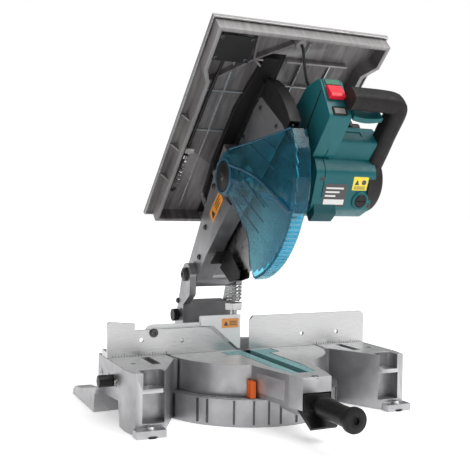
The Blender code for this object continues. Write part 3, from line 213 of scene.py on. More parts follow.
def moulded(name, colour, roughness=0.38, grain=0.00012, spread=0.12):
    """Injection-moulded plastic with a fine spark-eroded grain."""
    paint = Paint(name).set(Specular_IOR_Level=0.25)
    low = tuple(channel * (1 - spread) for channel in colour)
    high = tuple(min(1.0, channel * (1 + spread)) for channel in colour)
    edge_wear_and_highlight = tuple(min(1.0, channel * 1.6 + 0.02) for channel in colour)
    paint.edge_wear_and_highlight(paint.ramp(paint.noise(22, 5), low, high), edge_wear_and_highlight, 0.55)
    paint.link(paint.ramp(paint.noise(140, 3), roughness - 0.06, roughness + 0.10), "Roughness")
    return paint.bump(paint.noise(1500, 1), grain, 0.35).material


def clear(name, colour, through=0.96, roughness=0.04):
    """Tinted clear plastic, thin, with faint haze and scratches."""
    paint = Paint(name).set(IOR=1.12, Transmission_Weight=through, Coat_Weight=0.3, Coat_Roughness=0.05)
    haze = paint.noise(48, 5)
    low = tuple(channel * 0.82 for channel in colour)
    paint.link(paint.ramp(haze, low, colour), "Base Color")
    paint.link(paint.ramp(paint.noise(120, 6, (1, 1, 8)), roughness, roughness + 0.08), "Roughness")
    return paint.bump(paint.noise(25, 2), 0.0001, 0.06).material


def steel(name, bright=0.55, low=0.22, high=0.38, stretch=None):
    paint = Paint(name).set(Metallic=1.0)
    marks = paint.noise(120, 4, stretch)
    paint.link(paint.ramp(marks, (bright * 0.8,) * 3, (bright * 1.15,) * 3), "Base Color")
    paint.link(paint.ramp(marks, low, high), "Roughness")
    return paint.bump(marks, 0.00005, 0.3).material


def label(name, colour):
    """A printed sticker under a clear film."""
    paint = Paint(name).set(Coat_Weight=0.6, Coat_Roughness=0.12)
    low = tuple(channel * 0.9 for channel in colour)
    paint.link(paint.ramp(paint.noise(70, 3), low, colour), "Base Color")
    paint.link(paint.ramp(paint.noise(200, 2), 0.30, 0.42), "Roughness")
    return paint.bump(paint.noise(500, 2), 0.00005, 0.2).material


CAST = cast_paint()
TOP = machined("machined_top", (1.0, 26.0, 1.0), 0.84)
FENCE = machined("machined_fence", (0.6, 1.0, 30.0), 0.60)
TABLE = table_cast()
PLATE_TOP = machined("machined_plate", (30.0, 1.0, 1.0), 0.66)
TEAL = moulded("teal_shell", (0.008, 0.105, 0.118), 0.34)
TEAL_DARK = moulded("teal_seat", (0.006, 0.060, 0.068), 0.42)
BLACK = moulded("black_shell", (0.008, 0.007, 0.007), 0.40)
SOFT_BLACK = moulded("soft_grip", (0.010, 0.008, 0.008), 0.55, 0.0003)
RUBBER = moulded("cable_rubber", (0.012, 0.012, 0.012), 0.60)
WHITE = moulded("white_paint", (0.80, 0.80, 0.80), 0.38, 0.0001, 0.04)
STEEL = steel("bright_steel", 0.60)
DARK_STEEL = steel("black_oxide", 0.10, 0.30, 0.46)
SPRING = steel("spring_wire", 0.70, 0.10, 0.20)
BLADE = steel("blade_steel", 0.34, 0.26, 0.40)
ORANGE = moulded("orange_post", (0.62, 0.10, 0.012), 0.42)
GREEN = moulded("green_key", (0.008, 0.120, 0.058), 0.34)
RED = moulded("red_key", (0.72, 0.012, 0.030), 0.28)
GREY = moulded("grey_key", (0.20, 0.18, 0.18), 0.40)
COPPER = steel("winding", 0.42, 0.30, 0.40)
GUARD = clear("guard_clear", (0.17, 0.66, 0.84))
GUARD_RIM = clear("guard_rim", (0.42, 0.84, 0.94), 0.75, 0.10)
BOARD = moulded("board_teal", (0.160, 0.340, 0.350), 0.30)
GAP_BLACK = moulded("gap_black", (0.006, 0.006, 0.006), 0.60)
RIB_BLUE = moulded("guard_rib", (0.006, 0.060, 0.100), 0.22)
# A lighter metal for the ribs and the lip under the table: a painted highlight along edges that catch the
# light.
TABLE_EDGE_HIGHLIGHT = machined("table_edge_painted_highlight", (1.0, 12.0, 1.0), 0.50)
YELLOW_LABEL = label("yellow_label", (0.85, 0.66, 0.02))
ORANGE_LABEL = label("orange_label", (0.85, 0.32, 0.03))
WHITE_LABEL = label("white_label", (0.72, 0.72, 0.70))
BLACK_LABEL = label("black_label", (0.02, 0.018, 0.018))


# ---------------- making pieces


def smooth_shaded(mesh):
    mesh.shade_smooth()
    mesh.set_sharp_from_angle(angle=SOFT_EDGE)


def add(name, mesh, look, body, place=None):
    """One piece on a CAD body. Its mesh is in the row frame, or in that of place."""
    made = bpy.data.objects.new(name, mesh)
    bpy.context.scene.collection.objects.link(made)
    if place:
        mesh.transform(place)
    mesh.materials.clear()
    mesh.materials.append(look)
    smooth_shaded(mesh)
    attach(made, body)
    return made


def bevel(made, width, segments=2):
    modifier = made.modifiers.new("edges", "BEVEL")
    modifier.width = width
    modifier.segments = segments
    modifier.limit_method = "ANGLE"
    modifier.angle_limit = SOFT_EDGE
    modifier.harden_normals = True
    modifier.use_clamp_overlap = True
    return made


def cleaned(mesh):
    """Flat faces made whole again, so that only real edges are left to round."""
    shape = bmesh.new()
    shape.from_mesh(mesh)
    bmesh.ops.remove_doubles(shape, verts=shape.verts, dist=1e-6)
    bmesh.ops.dissolve_limit(shape, angle_limit=math.radians(0.6), verts=shape.verts, edges=shape.edges)
    bmesh.ops.recalc_face_normals(shape, faces=shape.faces)
    shape.to_mesh(mesh)
    shape.free()


def node_body(node):
    return frame["nodes"][node]["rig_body"]


def dressed(node, look, width=0.0006):
    """A CAD node with its edges broken and its own material."""
    mesh = frame["nodes"][node].data.copy()
    cleaned(mesh)
    made = add(node + "_skin", mesh, look, node_body(node))
    bevel(made, width)
    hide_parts(node)
    return made


NODE_LOOKS = {
    "base_casting": (CAST, 0.0014, "cast_aluminium"),
    "mitre_scale": (STEEL, 0.0002, "cast_aluminium"),
    "fence_left": (FENCE, 0.0008, "cast_aluminium"),
    "fence_right": (FENCE, 0.0008, "cast_aluminium"),
    "fence_bolt_left": (STEEL, 0.0004, "steel"),
    "fence_bolt_right": (STEEL, 0.0004, "steel"),
    "sub_fence_screw": (DARK_STEEL, 0.0005, "black_plastic"),
    "turntable_bolt": (STEEL, 0.0005, "steel"),
    "sub_fence": (WHITE, 0.0007, "painted_white"),
    "side_clamp_screw": (BLACK, 0.0008, "black_plastic"),
    "turntable": (CAST, 0.0012, "cast_aluminium"),
    "kerf_board_left": (BOARD, 0.0004, "teal_clear"),
    "kerf_board_right": (BOARD, 0.0004, "teal_clear"),
    "mitre_pointer": (ORANGE, 0.0008, "orange_paint"),
    "grip_rod": (STEEL, 0.0004, "steel"),
    "bevel_shaft": (STEEL, 0.0006, "steel"),
    "detent_lever": (BLACK, 0.0008, "black_plastic"),
    "spring_pin": (STEEL, 0.0010, "steel"),
    "bevel_bracket": (CAST, 0.0018, "cast_aluminium"),
    "hinge_pin": (DARK_STEEL, 0.0006, "steel"),
    "bevel_lock_lever": (BLACK, 0.0014, "black_plastic"),
    "stop_pin": (BLACK, 0.0008, "black_plastic"),
    "dust_chute": (BLACK, 0.0008, "black_plastic"),
    "spindle_bearing": (STEEL, 0.0003, "steel"),
    "belt_housing": (TEAL, 0.0010, "teal_plastic"),
    "drive_belt": (RUBBER, 0.0003, "rubber"),
    "motor_stator": (COPPER, 0.0004, "copper_winding"),
    "motor_rotor": (STEEL, 0.0004, "steel"),
    "brush_cap_back": (BLACK, 0.0008, "black_plastic"),
    "start_button": (GREEN, 0.0008, "green_plastic"),
    "stop_paddle": (RED, 0.0014, "red_plastic"),
    "lock_off_button": (GREY, 0.0006, "grey_plastic"),
    "table_lock_rod": (STEEL, 0.0004, "steel"),
    "table_lock_knob": (BLACK, 0.0010, "black_plastic"),
    "riving_knife": (STEEL, 0.0003, "steel"),
    "cover_pin": (BLACK, 0.0006, "black_plastic"),
    "top_cover": (GUARD, 0.0008, "teal_clear"),
    "spindle": (STEEL, 0.0004, "steel"),
    "inner_flange": (STEEL, 0.0004, "steel"),
    "outer_flange": (STEEL, 0.0004, "steel"),
    "blade_bolt": (STEEL, 0.0006, "steel"),
    "blade": (BLADE, 0.0001, "blade_steel"),
    "upper_table": (TABLE, 0.0008, "painted_cast"),
    "table_insert": (BLACK, 0.0004, "black_plastic"),
    "table_post_front": (STEEL, 0.0006, "steel"),
    "table_post_back": (STEEL, 0.0006, "steel"),
    "cover_plate": (BLACK, 0.0008, "black_plastic"),
    "link_rod": (BLACK, 0.0003, "black_plastic"),
    "tension_spring": (SPRING, 0.0001, "steel"),
}


# ---------------- shapes


AXES = {"X": (1, 2, 0), "Y": (0, 2, 1), "Z": (0, 1, 2)}


def mesh_of(shape):
    bmesh.ops.recalc_face_normals(shape, faces=shape.faces)
    mesh = bpy.data.meshes.new("shape")
    shape.to_mesh(mesh)
    shape.free()
    return mesh


def prism(outline, axis, low, high):
    """A flat outline pushed along an axis. Its points are the other two axes, in order."""
    first, second, along = AXES[axis]
    shape = bmesh.new()
    ends = []
    for level in (low, high):
        ring = []
        for point in outline:
            place = [0.0, 0.0, 0.0]
            place[first], place[second] = point
            place[along] = level
            ring.append(shape.verts.new(place))
        ends.append(ring)
    shape.faces.new(ends[0])
    shape.faces.new(list(reversed(ends[1])))
    for i in range(len(outline)):
        after = (i + 1) % len(outline)
        shape.faces.new((ends[0][i], ends[1][i], ends[1][after], ends[0][after]))
    return mesh_of(shape)


def rectangle(left, low, right, high):
    return [(left, low), (right, low), (right, high), (left, high)]


def slab(x, y, z):
    return prism(rectangle(x[0], y[0], x[1], y[1]), "Z", *z)


def strip(start, end, half, low, high):
    """A straight bar between two points of a level plane, of a half width, from low to high."""
    start, end = Vector(start), Vector(end)
    across = (end - start).normalized().orthogonal() * half
    corners = (start + across, end + across, end - across, start - across)
    return prism([tuple(corner) for corner in corners], "Z", low, high)


def arc(centre, radius, start, end, steps):
    """Points along an arc, angles in degrees from the first axis."""
    points = []
    for i in range(steps + 1):
        angle = math.radians(start + (end - start) * i / steps)
        points.append((centre[0] + radius * math.cos(angle), centre[1] + radius * math.sin(angle)))
    return points


def disc(centre, radius, axis, low, high, steps=40):
    return prism(arc(centre, radius, 0, 360 - 360 / steps, steps - 1), axis, low, high)


def rounded(outline, radius, steps=4):
    """The outline with its corners rounded by quadratic curves."""
    points = []
    for i, corner in enumerate(outline):
        here = Vector(corner)
        sides = []
        for other in (outline[i - 1], outline[(i + 1) % len(outline)]):
            side = Vector(other) - here
            sides.append(here + side.normalized() * min(radius, side.length * 0.45))
        for k in range(steps + 1):
            t = k / steps
            points.append(tuple(sides[0] * (1 - t) ** 2 + here * 2 * t * (1 - t) + sides[1] * t**2))
    return points


def lathe(profile, axis, centre, steps=48):
    """A closed profile of (radius, along) points turned about an axis."""
    first, second, along = AXES[axis]
    shape = bmesh.new()
    rings = []
    for i in range(steps):
        angle = 2 * math.pi * i / steps
        ring = []
        for radius, level in profile:
            place = [0.0, 0.0, 0.0]
            place[first] = centre[0] + radius * math.cos(angle)
            place[second] = centre[1] + radius * math.sin(angle)
            place[along] = level
            ring.append(shape.verts.new(place))
        rings.append(ring)
    for i in range(steps):
        here, there = rings[i], rings[(i + 1) % steps]
        for j in range(len(profile)):
            after = (j + 1) % len(profile)
            shape.faces.new((here[j], here[after], there[after], there[j]))
    bmesh.ops.remove_doubles(shape, verts=shape.verts, dist=1e-6)
    return mesh_of(shape)


def swept(path, section, across):
    """A section of (sideways, upwards) points drawn along a path. across is the direction of 'upwards'."""
    path = [Vector(point) for point in path]
    lift = Vector(across)
    shape = bmesh.new()
    rings = []
    for i, place in enumerate(path):
        ahead = (path[min(i + 1, len(path) - 1)] - path[max(i - 1, 0)]).normalized()
        side = ahead.cross(lift).normalized()
        up = side.cross(ahead)
        rings.append([shape.verts.new(place + side * a + up * b) for a, b in section])
    for here, there in zip(rings, rings[1:]):
        for j in range(len(section)):
            after = (j + 1) % len(section)
            shape.faces.new((here[j], here[after], there[after], there[j]))
    shape.faces.new(rings[0])
    shape.faces.new(list(reversed(rings[-1])))
    return mesh_of(shape)


def smooth(points, steps=6):
    """Catmull-Rom points through the given ones."""
    path = [Vector(point) for point in points]
    path = [2 * path[0] - path[1], *path, 2 * path[-1] - path[-2]]
    found = []
    for a, b, c, d in zip(path, path[1:], path[2:], path[3:]):
        for i in range(steps):
            t = i / steps
            square = (2 * a - 5 * b + 4 * c - d) * t**2
            cube = (3 * b - a - 3 * c + d) * t**3
            found.append(0.5 * (2 * b + (c - a) * t + square + cube))
    return [*found, path[-2]]


def wire(points, radius, sides=12, across=(0.12, 0.31, 0.94)):
    return swept(points, arc((0, 0), radius, 0, 360 - 360 / sides, sides - 1), across)


def joined(meshes):
    shape = bmesh.new()
    for mesh in meshes:
        shape.from_mesh(mesh)
        bpy.data.meshes.remove(mesh)
    mesh = bpy.data.meshes.new("shape")
    shape.to_mesh(mesh)
    shape.free()
    return mesh


def combined(mesh, tools, operation="DIFFERENCE"):
    """EXACT Booleans, applied one after another."""
    for tool_mesh in tools:
        target = bpy.data.objects.new("target", mesh)
        tool = bpy.data.objects.new("tool", tool_mesh)
        for made in (target, tool):
            bpy.context.scene.collection.objects.link(made)
        modifier = target.modifiers.new("combine", "BOOLEAN")
        modifier.object = tool
        modifier.operation = operation
        modifier.solver = "EXACT"
        bpy.context.view_layer.update()
        mesh = bpy.data.meshes.new_from_object(target.evaluated_get(bpy.context.evaluated_depsgraph_get()))
        for made in (target, tool):
            bpy.data.objects.remove(made, do_unlink=True)
    return mesh


def head_mesh(node):
    """A CAD node's mesh in the frame of the lowered head."""
    mesh = frame["nodes"][node].data.copy()
    mesh.transform(HEAD.inverted())
    cleaned(mesh)
    return mesh


def screw(place, facing, radius, depth=0.003):
    """A round head with a hexagonal socket, its top depth above place, turned to face a direction."""
    profile = [(0, 0), (radius * 1.25, 0), (radius * 1.25, 0.0006), (radius, 0.0009)]
    profile += [(radius, depth - 0.0005), (radius - 0.0005, depth), (0, depth)]
    head = lathe(profile, "Z", (0, 0), 28)
    socket = prism(arc((0, 0), radius * 0.55, 0, 300, 5), "Z", depth - 0.0018, depth + 0.001)
    mesh = combined(head, [socket])
    turn = Vector(facing).to_track_quat("Z", "Y").to_matrix().to_4x4()
    mesh.transform(Matrix.Translation(place) @ turn)
    return mesh


def facet(start, end, x):
    """From a sticker's own frame, x right, y along the facet and z outwards, to a facet of the head."""
    start, end = Vector((0, *start)), Vector((0, *end))
    along = (end - start).normalized()
    out = Vector((1, 0, 0)).cross(along)
    turn = Matrix((Vector((1, 0, 0)), along, out)).transposed().to_4x4()
    return HEAD @ Matrix.Translation(start + Vector((x, 0, 0))) @ turn


def sticker(name, look, corners, place, body):
    """A label with round corners, its two opposite corners given in the frame of the face that it is on."""
    outline = rounded(rectangle(*corners[0], *corners[1]), STICKER_CORNER, 3)
    mesh = prism(outline, "Z", -0.0002, STICKER_TOP)
    return add(name, mesh, look, body, place)


# ---------------- head


MOTOR_SIDE = [
    (-0.342, -0.057),
    (-0.334, -0.079),
    (-0.284, -0.105),
    (-0.254, -0.094),
    (-0.243, -0.070),
    (-0.240, -0.030),
    (-0.262, -0.004),
    (-0.330, -0.004),
    (-0.342, -0.020),
]
MOTOR_SPAN = (0.036, 0.1395)
TOWER_SPAN = (0.030, 0.066)
TOWER_SIDE = [
    (-0.434, 0.010),
    (-0.417, -0.053),
    (-0.345, -0.060),
    (-0.325, -0.020),
    (-0.325, 0.024),
    (-0.345, 0.034),
    (-0.402, 0.030),
]
BRUSH_PLACE = (0.1190, 0.0140)
TRIGGER_LEFT = 0.0715
TRIGGER_LENGTH = 0.050
TRIGGER_Y = -0.4172
CASE_HALF = 0.0095
CASE_SIDE = [
    (-0.348, 0.071),
    (-0.300, 0.0805),
    (-0.206, 0.0887),
    (0.030, 0.070),
    (0.030, -0.150),
    (-0.300, -0.150),
    (-0.367, -0.051),
    (-0.366, -0.011),
]


def motor_shell():
    """The faceted motor block, the switch tower before it and the low shelf between them."""
    shelf_side = [(-0.374, -0.055), (-0.300, -0.060), (-0.300, -0.012), (-0.340, -0.008), (-0.374, -0.020)]
    step_side = [(-0.366, -0.022), (-0.340, -0.022), (-0.334, 0.002), (-0.360, 0.002)]
    parts = [
        prism(rounded(MOTOR_SIDE, 0.007), "X", *MOTOR_SPAN),
        prism(rounded(shelf_side, 0.006), "X", 0.060, 0.1365),
        prism(rounded(step_side, 0.003), "X", 0.060, 0.100),
    ]
    seams = [
        prism(rectangle(-0.36, -0.0600, -0.20, -0.0588), "X", 0.1385, 0.15),
        slab((0.0500, 0.0512), (-0.36, -0.30), (-0.11, -0.052)),
        slab((0.075, 0.110), (-0.376, -0.3725), (-0.042, -0.032)),
    ]
    tower = prism(rounded(TOWER_SIDE, 0.006), "X", *TOWER_SPAN)
    made = add("motor_shell", combined(combined(tower, parts, "UNION"), seams), TEAL, "head", HEAD)
    bevel(made, 0.0012)
    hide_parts("motor_housing")
    foot_side = [(-0.296, -0.094), (-0.266, -0.094), (-0.262, -0.112), (-0.282, -0.114)]
    foot = prism(rounded(foot_side, 0.003), "X", 0.040, 0.078)
    bevel(add("motor_foot", foot, TEAL_DARK, "head", HEAD), 0.001)
    # Thin black strips across the top of the motor stand for the vent slots: painted shade inside them.
    vents = []
    for k in range(6):
        y = -0.318 + 0.011 * k
        vents.append(slab((0.062, 0.118), (y, y + 0.004), (-0.0050, -0.0028)))
    add("motor_vent_shade", joined(vents), GAP_BLACK, "head", HEAD)


def motor_labels():
    """The labels and screws on the motor's lower front facet."""
    lower = facet(MOTOR_SIDE[2], MOTOR_SIDE[1], 0)
    sticker("warning_label", YELLOW_LABEL, ((0.1010, 0.0300), (0.1270, 0.0510)), lower, "head")
    signs = [
        prism([(0.104, 0.0385), (0.112, 0.0385), (0.108, 0.0465)], "Z", *MOTOR_PRINT),
        disc((0.120, 0.0425), 0.0038, "Z", *MOTOR_PRINT, 20),
    ]
    for k in range(3):
        low = 0.0318 + 0.0018 * k
        signs.append(slab((0.104, 0.123), (low, low + 0.0007), MOTOR_PRINT))
    add("warning_signs", joined(signs), BLACK_LABEL, "head", lower)
    sticker("type_plate", BLACK_LABEL, ((0.0530, 0.0040), (0.0930, 0.0390)), lower, "head")
    plate = [slab((0.0555, 0.0905), (0.0070, 0.0150), MOTOR_PRINT)]
    for k in range(3):
        low = 0.0190 + 0.0060 * k
        plate.append(slab((0.0565, 0.0745 + 0.006 * k), (low, low + 0.0026), MOTOR_PRINT))
    add("type_plate_fields", joined(plate), WHITE_LABEL, "head", lower)
    places = ((0.0480, 0.0460, 0), (0.1350, 0.0060, 0))
    screws = [screw(place, (0, 0, 1), 0.0028, 0.0012) for place in places]
    add("motor_screws", joined(screws), DARK_STEEL, "head", lower)


def brush_cap():
    """The slotted cap over the front brush, in its raised ring."""
    lower = facet(MOTOR_SIDE[2], MOTOR_SIDE[1], 0)
    x, along = BRUSH_PLACE
    ring = [(0.0102, 0), (0.0145, 0), (0.0145, 0.0016), (0.0125, 0.0030), (0.0102, 0.0030)]
    bevel(add("brush_seat", lathe(ring, "Z", BRUSH_PLACE, 36), TEAL, "head", lower), 0.0004)
    profile = [(0, 0.0), (0.0098, 0.0), (0.0098, 0.0030), (0.0088, 0.0040), (0, 0.0040)]
    slot = slab((x - 0.008, x + 0.008), (along - 0.0008, along + 0.0008), (0.003, 0.01))
    cap = combined(lathe(profile, "Z", BRUSH_PLACE, 32), [slot])
    made = add("brush_cap_front_skin", cap, BLACK, "head", lower)
    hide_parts("brush_cap_front")


def switch_face():
    """The dark plate behind the keys, the frame of the lock-off key and the seam of the tower."""
    lean = facet(TOWER_SIDE[1], TOWER_SIDE[0], sum(TOWER_SPAN) / 2)
    surround = prism(rounded(rectangle(-0.0150, 0.0265, 0.0150, 0.0645), 0.003), "Z", -0.0004, 0.0010)
    bevel(add("switch_surround", surround, TEAL_DARK, "head", lean), 0.0004)
    outside = prism(rounded(rectangle(-0.0115, 0.0025, 0.0115, 0.0165), 0.002), "Z", -0.0004, 0.0016)
    hole = slab((-0.0092, 0.0092), (0.0045, 0.0150), (-0.01, 0.01))
    bevel(add("lock_bezel", combined(outside, [hole]), GAP_BLACK, "head", lean), 0.0003)
    seam_side = [(-0.425, -0.006), (-0.352, -0.018), (-0.352, -0.020), (-0.424, -0.008)]
    seam = prism(rounded(seam_side, 0.0005), "X", 0.0292, 0.0302)
    add("tower_seam", seam, GAP_BLACK, "head", HEAD)


def handle():
    """The loop of the handle: a rounded bar before the tower, a side bar and the cap on the motor's end."""
    section = rounded(rectangle(-0.0140, -0.0150, 0.0140, 0.0150), 0.0110, 5)
    route = [
        (0.0600, -0.4365, -0.0345),
        (0.0850, -0.4365, -0.0345),
        (0.1100, -0.4365, -0.0350),
        (0.1320, -0.4355, -0.0360),
        (0.1420, -0.4310, -0.0370),
        (0.1450, -0.4180, -0.0390),
        (0.1450, -0.3850, -0.0430),
        (0.1450, -0.3550, -0.0480),
        (0.1450, -0.3250, -0.0520),
        (0.1450, -0.3000, -0.0530),
    ]
    loop = swept(smooth(route, 4), section, (0, 0, 1))
    radius = 0.0498
    profile = [(0.004, 0.1288), (radius, 0.1288), (radius, 0.149), (radius - 0.002, 0.1535)]
    profile += [(radius - 0.006, 0.1570), (radius - 0.012, 0.1585), (0.004, 0.1585)]
    cap = lathe(profile, "X", (MOTOR_AXIS.y, MOTOR_AXIS.z), 64)
    mesh = combined(loop, [cap], "UNION")
    made = add("handle_loop", mesh, SOFT_BLACK, "head", HEAD)
    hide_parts("handle")
    # Thin black strips on the end of the cap stand for its vent slots: painted shade inside them.
    ribs = []
    for k in range(7):
        y = -0.318 + 0.0095 * k
        ribs.append(slab((0.1580, 0.1588), (y, y + 0.0045), (-0.078, -0.020)))
    add("cap_vent_shade", joined(ribs), GAP_BLACK, "head", HEAD)


def trigger():
    """The bowed trigger behind the front bar of the handle."""
    steps = 8
    inner, outer = [], []
    for k in range(steps + 1):
        bow = math.sin(math.pi * k / steps)
        x = TRIGGER_LEFT + TRIGGER_LENGTH * k / steps
        inner.append((x, TRIGGER_Y + 0.0030 * bow))
        outer.append((x, TRIGGER_Y + 0.0080 + 0.0040 * bow))
    mesh = prism(rounded(inner + outer[::-1], 0.001, 2), "Z", -0.0495, -0.0305)
    made = bevel(add("trigger_lever", mesh, TEAL, "trigger", HEAD), 0.0018, 3)
    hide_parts("trigger")


def case():
    """The arm and blade case in silver, with a black rim ahead of and above the silver side."""
    silver = combined(head_mesh("head_casting"), [prism(CASE_SIDE, "X", -0.2, 0.2)], "INTERSECT")
    made = bevel(add("arm_and_case", silver, CAST, "head", HEAD), 0.0010)
    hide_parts("head_casting")
    arm_room = slab((-0.2, 0.2), (-0.2, 0.2), (-0.2, 0.2))
    rest = combined(head_mesh("head_casting"), [prism(CASE_SIDE, "X", -0.2, 0.2), arm_room])
    lip = [(-0.3705, -0.050), (-0.3700, -0.010), (-0.3500, 0.0750)]
    lip += [(-0.3440, 0.0735), (-0.3620, -0.011), (-0.3630, -0.050)]
    band = [(-0.018, -0.402), (-0.033, -0.300), (-0.033, -0.183), (-0.026, -0.111), (-0.010, -0.062)]
    band += [(0.010, -0.062), (0.010, -0.402)]
    front = rectangle(-0.0104, -0.364, 0.0104, -0.215)
    for name, mesh, width in (
        ("case_rim", rest, 0.0010),
        ("case_front_lip", prism(rounded(lip, 0.002, 2), "X", -0.0098, 0.0098), 0.0008),
        ("case_hood", prism(rounded(band, 0.003, 3), "Z", 0.0900, 0.0990), 0.0010),
        ("case_hood_front", prism(rounded(front, 0.003, 3), "Z", 0.0770, 0.0905), 0.0010),
    ):
        bevel(add(name, mesh, BLACK, "head", HEAD), width)
    beads = []
    centre = (BLADE_AXIS.y, BLADE_AXIS.z)
    for radius in (0.108, 0.127):
        outline = arc(centre, radius, 100, 172, 18) + arc(centre, radius - 0.0012, 172, 100, 18)
        beads.append(prism(outline, "X", -CASE_HALF - 0.0006, -CASE_HALF + 0.001))
    bevel(add("case_beads", joined(beads), CAST, "head", HEAD), 0.0003)


def case_clip():
    """The steel clip at the front of the case, its screw and the black tab behind it."""
    place = HEAD @ Matrix.Translation((0, -0.3735, 0.0040)) @ Matrix.Rotation(math.radians(-50), 4, "X")
    block = prism(rounded(rectangle(-0.009, -0.010, 0.009, 0.010), 0.003), "X", -0.0085, 0.0085)
    hole = disc((-0.001, -0.002), 0.0052, "X", -0.02, -0.0060, 24)
    bevel(add("case_clip", combined(block, [hole]), STEEL, "head", place), 0.0008)
    head = screw((-0.0062, -0.001, -0.002), (-1, 0, 0), 0.0036, 0.002)
    add("case_clip_screw", head, DARK_STEEL, "head", place)
    tab_side = [(-0.017, 0.010), (0.017, 0.010), (0.013, 0.026), (-0.013, 0.026)]
    tab = prism(rounded(tab_side, 0.004), "X", -0.0075, 0.0075)
    bevel(add("case_clip_tab", tab, BLACK, "head", place), 0.0008)


def arm_details():
    """The screws in the left side of the arm and case, and the label on the arm."""
    screws = []
    for x, radius, depth, places in (
        (-0.0359, 0.0042, 0.0030, ((-0.095, 0.026), (-0.168, 0.052), (-0.040, 0.006))),
        (-CASE_HALF, 0.0030, 0.0018, ((-0.332, 0.060), (-0.262, 0.071), (-0.348, 0.0))),
    ):
        for y, z in places:
            screws.append(screw((x, y, z), (-1, 0, 0), radius, depth))
    add("arm_screws", joined(screws), DARK_STEEL, "head", HEAD)
    turn = Matrix(((0, 0, -1, 0), (-1, 0, 0, 0), (0, 1, 0, 0), (0, 0, 0, 1)))
    place = HEAD @ Matrix.Translation((-0.0360, -0.152, 0.021)) @ turn
    sticker("arm_label", ORANGE_LABEL, ((-0.028, -0.011), (0.028, 0.011)), place, "head")
    signs = [prism([(-0.024, -0.007), (-0.010, -0.007), (-0.017, 0.007)], "Z", *PRINT)]
    for k in range(3):
        signs.append(slab((-0.004, 0.023 - 0.004 * k), (0.004 - 0.005 * k, 0.0058 - 0.005 * k), PRINT))
    add("arm_label_signs", joined(signs), BLACK_LABEL, "head", place)


HUB_LEFT = -0.0500
CONE_RADIUS = 0.029
CONE_RIM = 0.150
RIM_RADIUS = 0.1660
RIM_HALF = 0.0145


def guard_shell(inset, wall=0.0014):
    """The guard as a body of revolution: a cone on the left, a rim and a flat wall on the right."""
    left = HUB_LEFT + inset
    rim = RIM_RADIUS - inset
    half = RIM_HALF - inset
    outside = [(CONE_RADIUS, left), (CONE_RIM, -half), (rim - 0.003, -half), (rim, -half + 0.003)]
    outside += [(rim, half - 0.003), (rim - 0.003, half), (0.052, half)]
    inside = [(0.052, half - wall), (rim - 0.003, half - wall), (rim - wall, half - 0.004)]
    inside += [(rim - wall, -half + 0.004), (CONE_RIM, -half + wall), (CONE_RADIUS, left + wall)]
    return lathe(outside + inside, "X", (0, 0), 120)


UPPER_CUT = [
    (-0.040, 0.0200),
    (-0.156, -0.0580),
    (-0.200, -0.0700),
    (-0.200, -0.1200),
    (-0.1050, -0.1975),
    (0.012, 0.0226),
    (0.026, 0.0140),
    (0.030, 0.0300),
    (0.000, 0.0340),
    (-0.024, 0.0300),
]
LOWER_CUT = [
    (0.0, 0.0),
    (-0.1250, -0.2000),
    (0.040, -0.2000),
    (0.085, -0.1700),
    (0.078, -0.1230),
    (0.030, -0.0960),
    (0.016, -0.0500),
    (0.010, -0.0200),
]


def cone_place(y, z, lift=0.0008):
    """A point on the left cone of the upper guard, in the frame of the blade's axis."""
    radius = math.hypot(y, z)
    share = (radius - CONE_RADIUS) / (CONE_RIM - CONE_RADIUS)
    x = HUB_LEFT + (-RIM_HALF - HUB_LEFT) * min(1.0, share)
    return (x - lift, y, z)


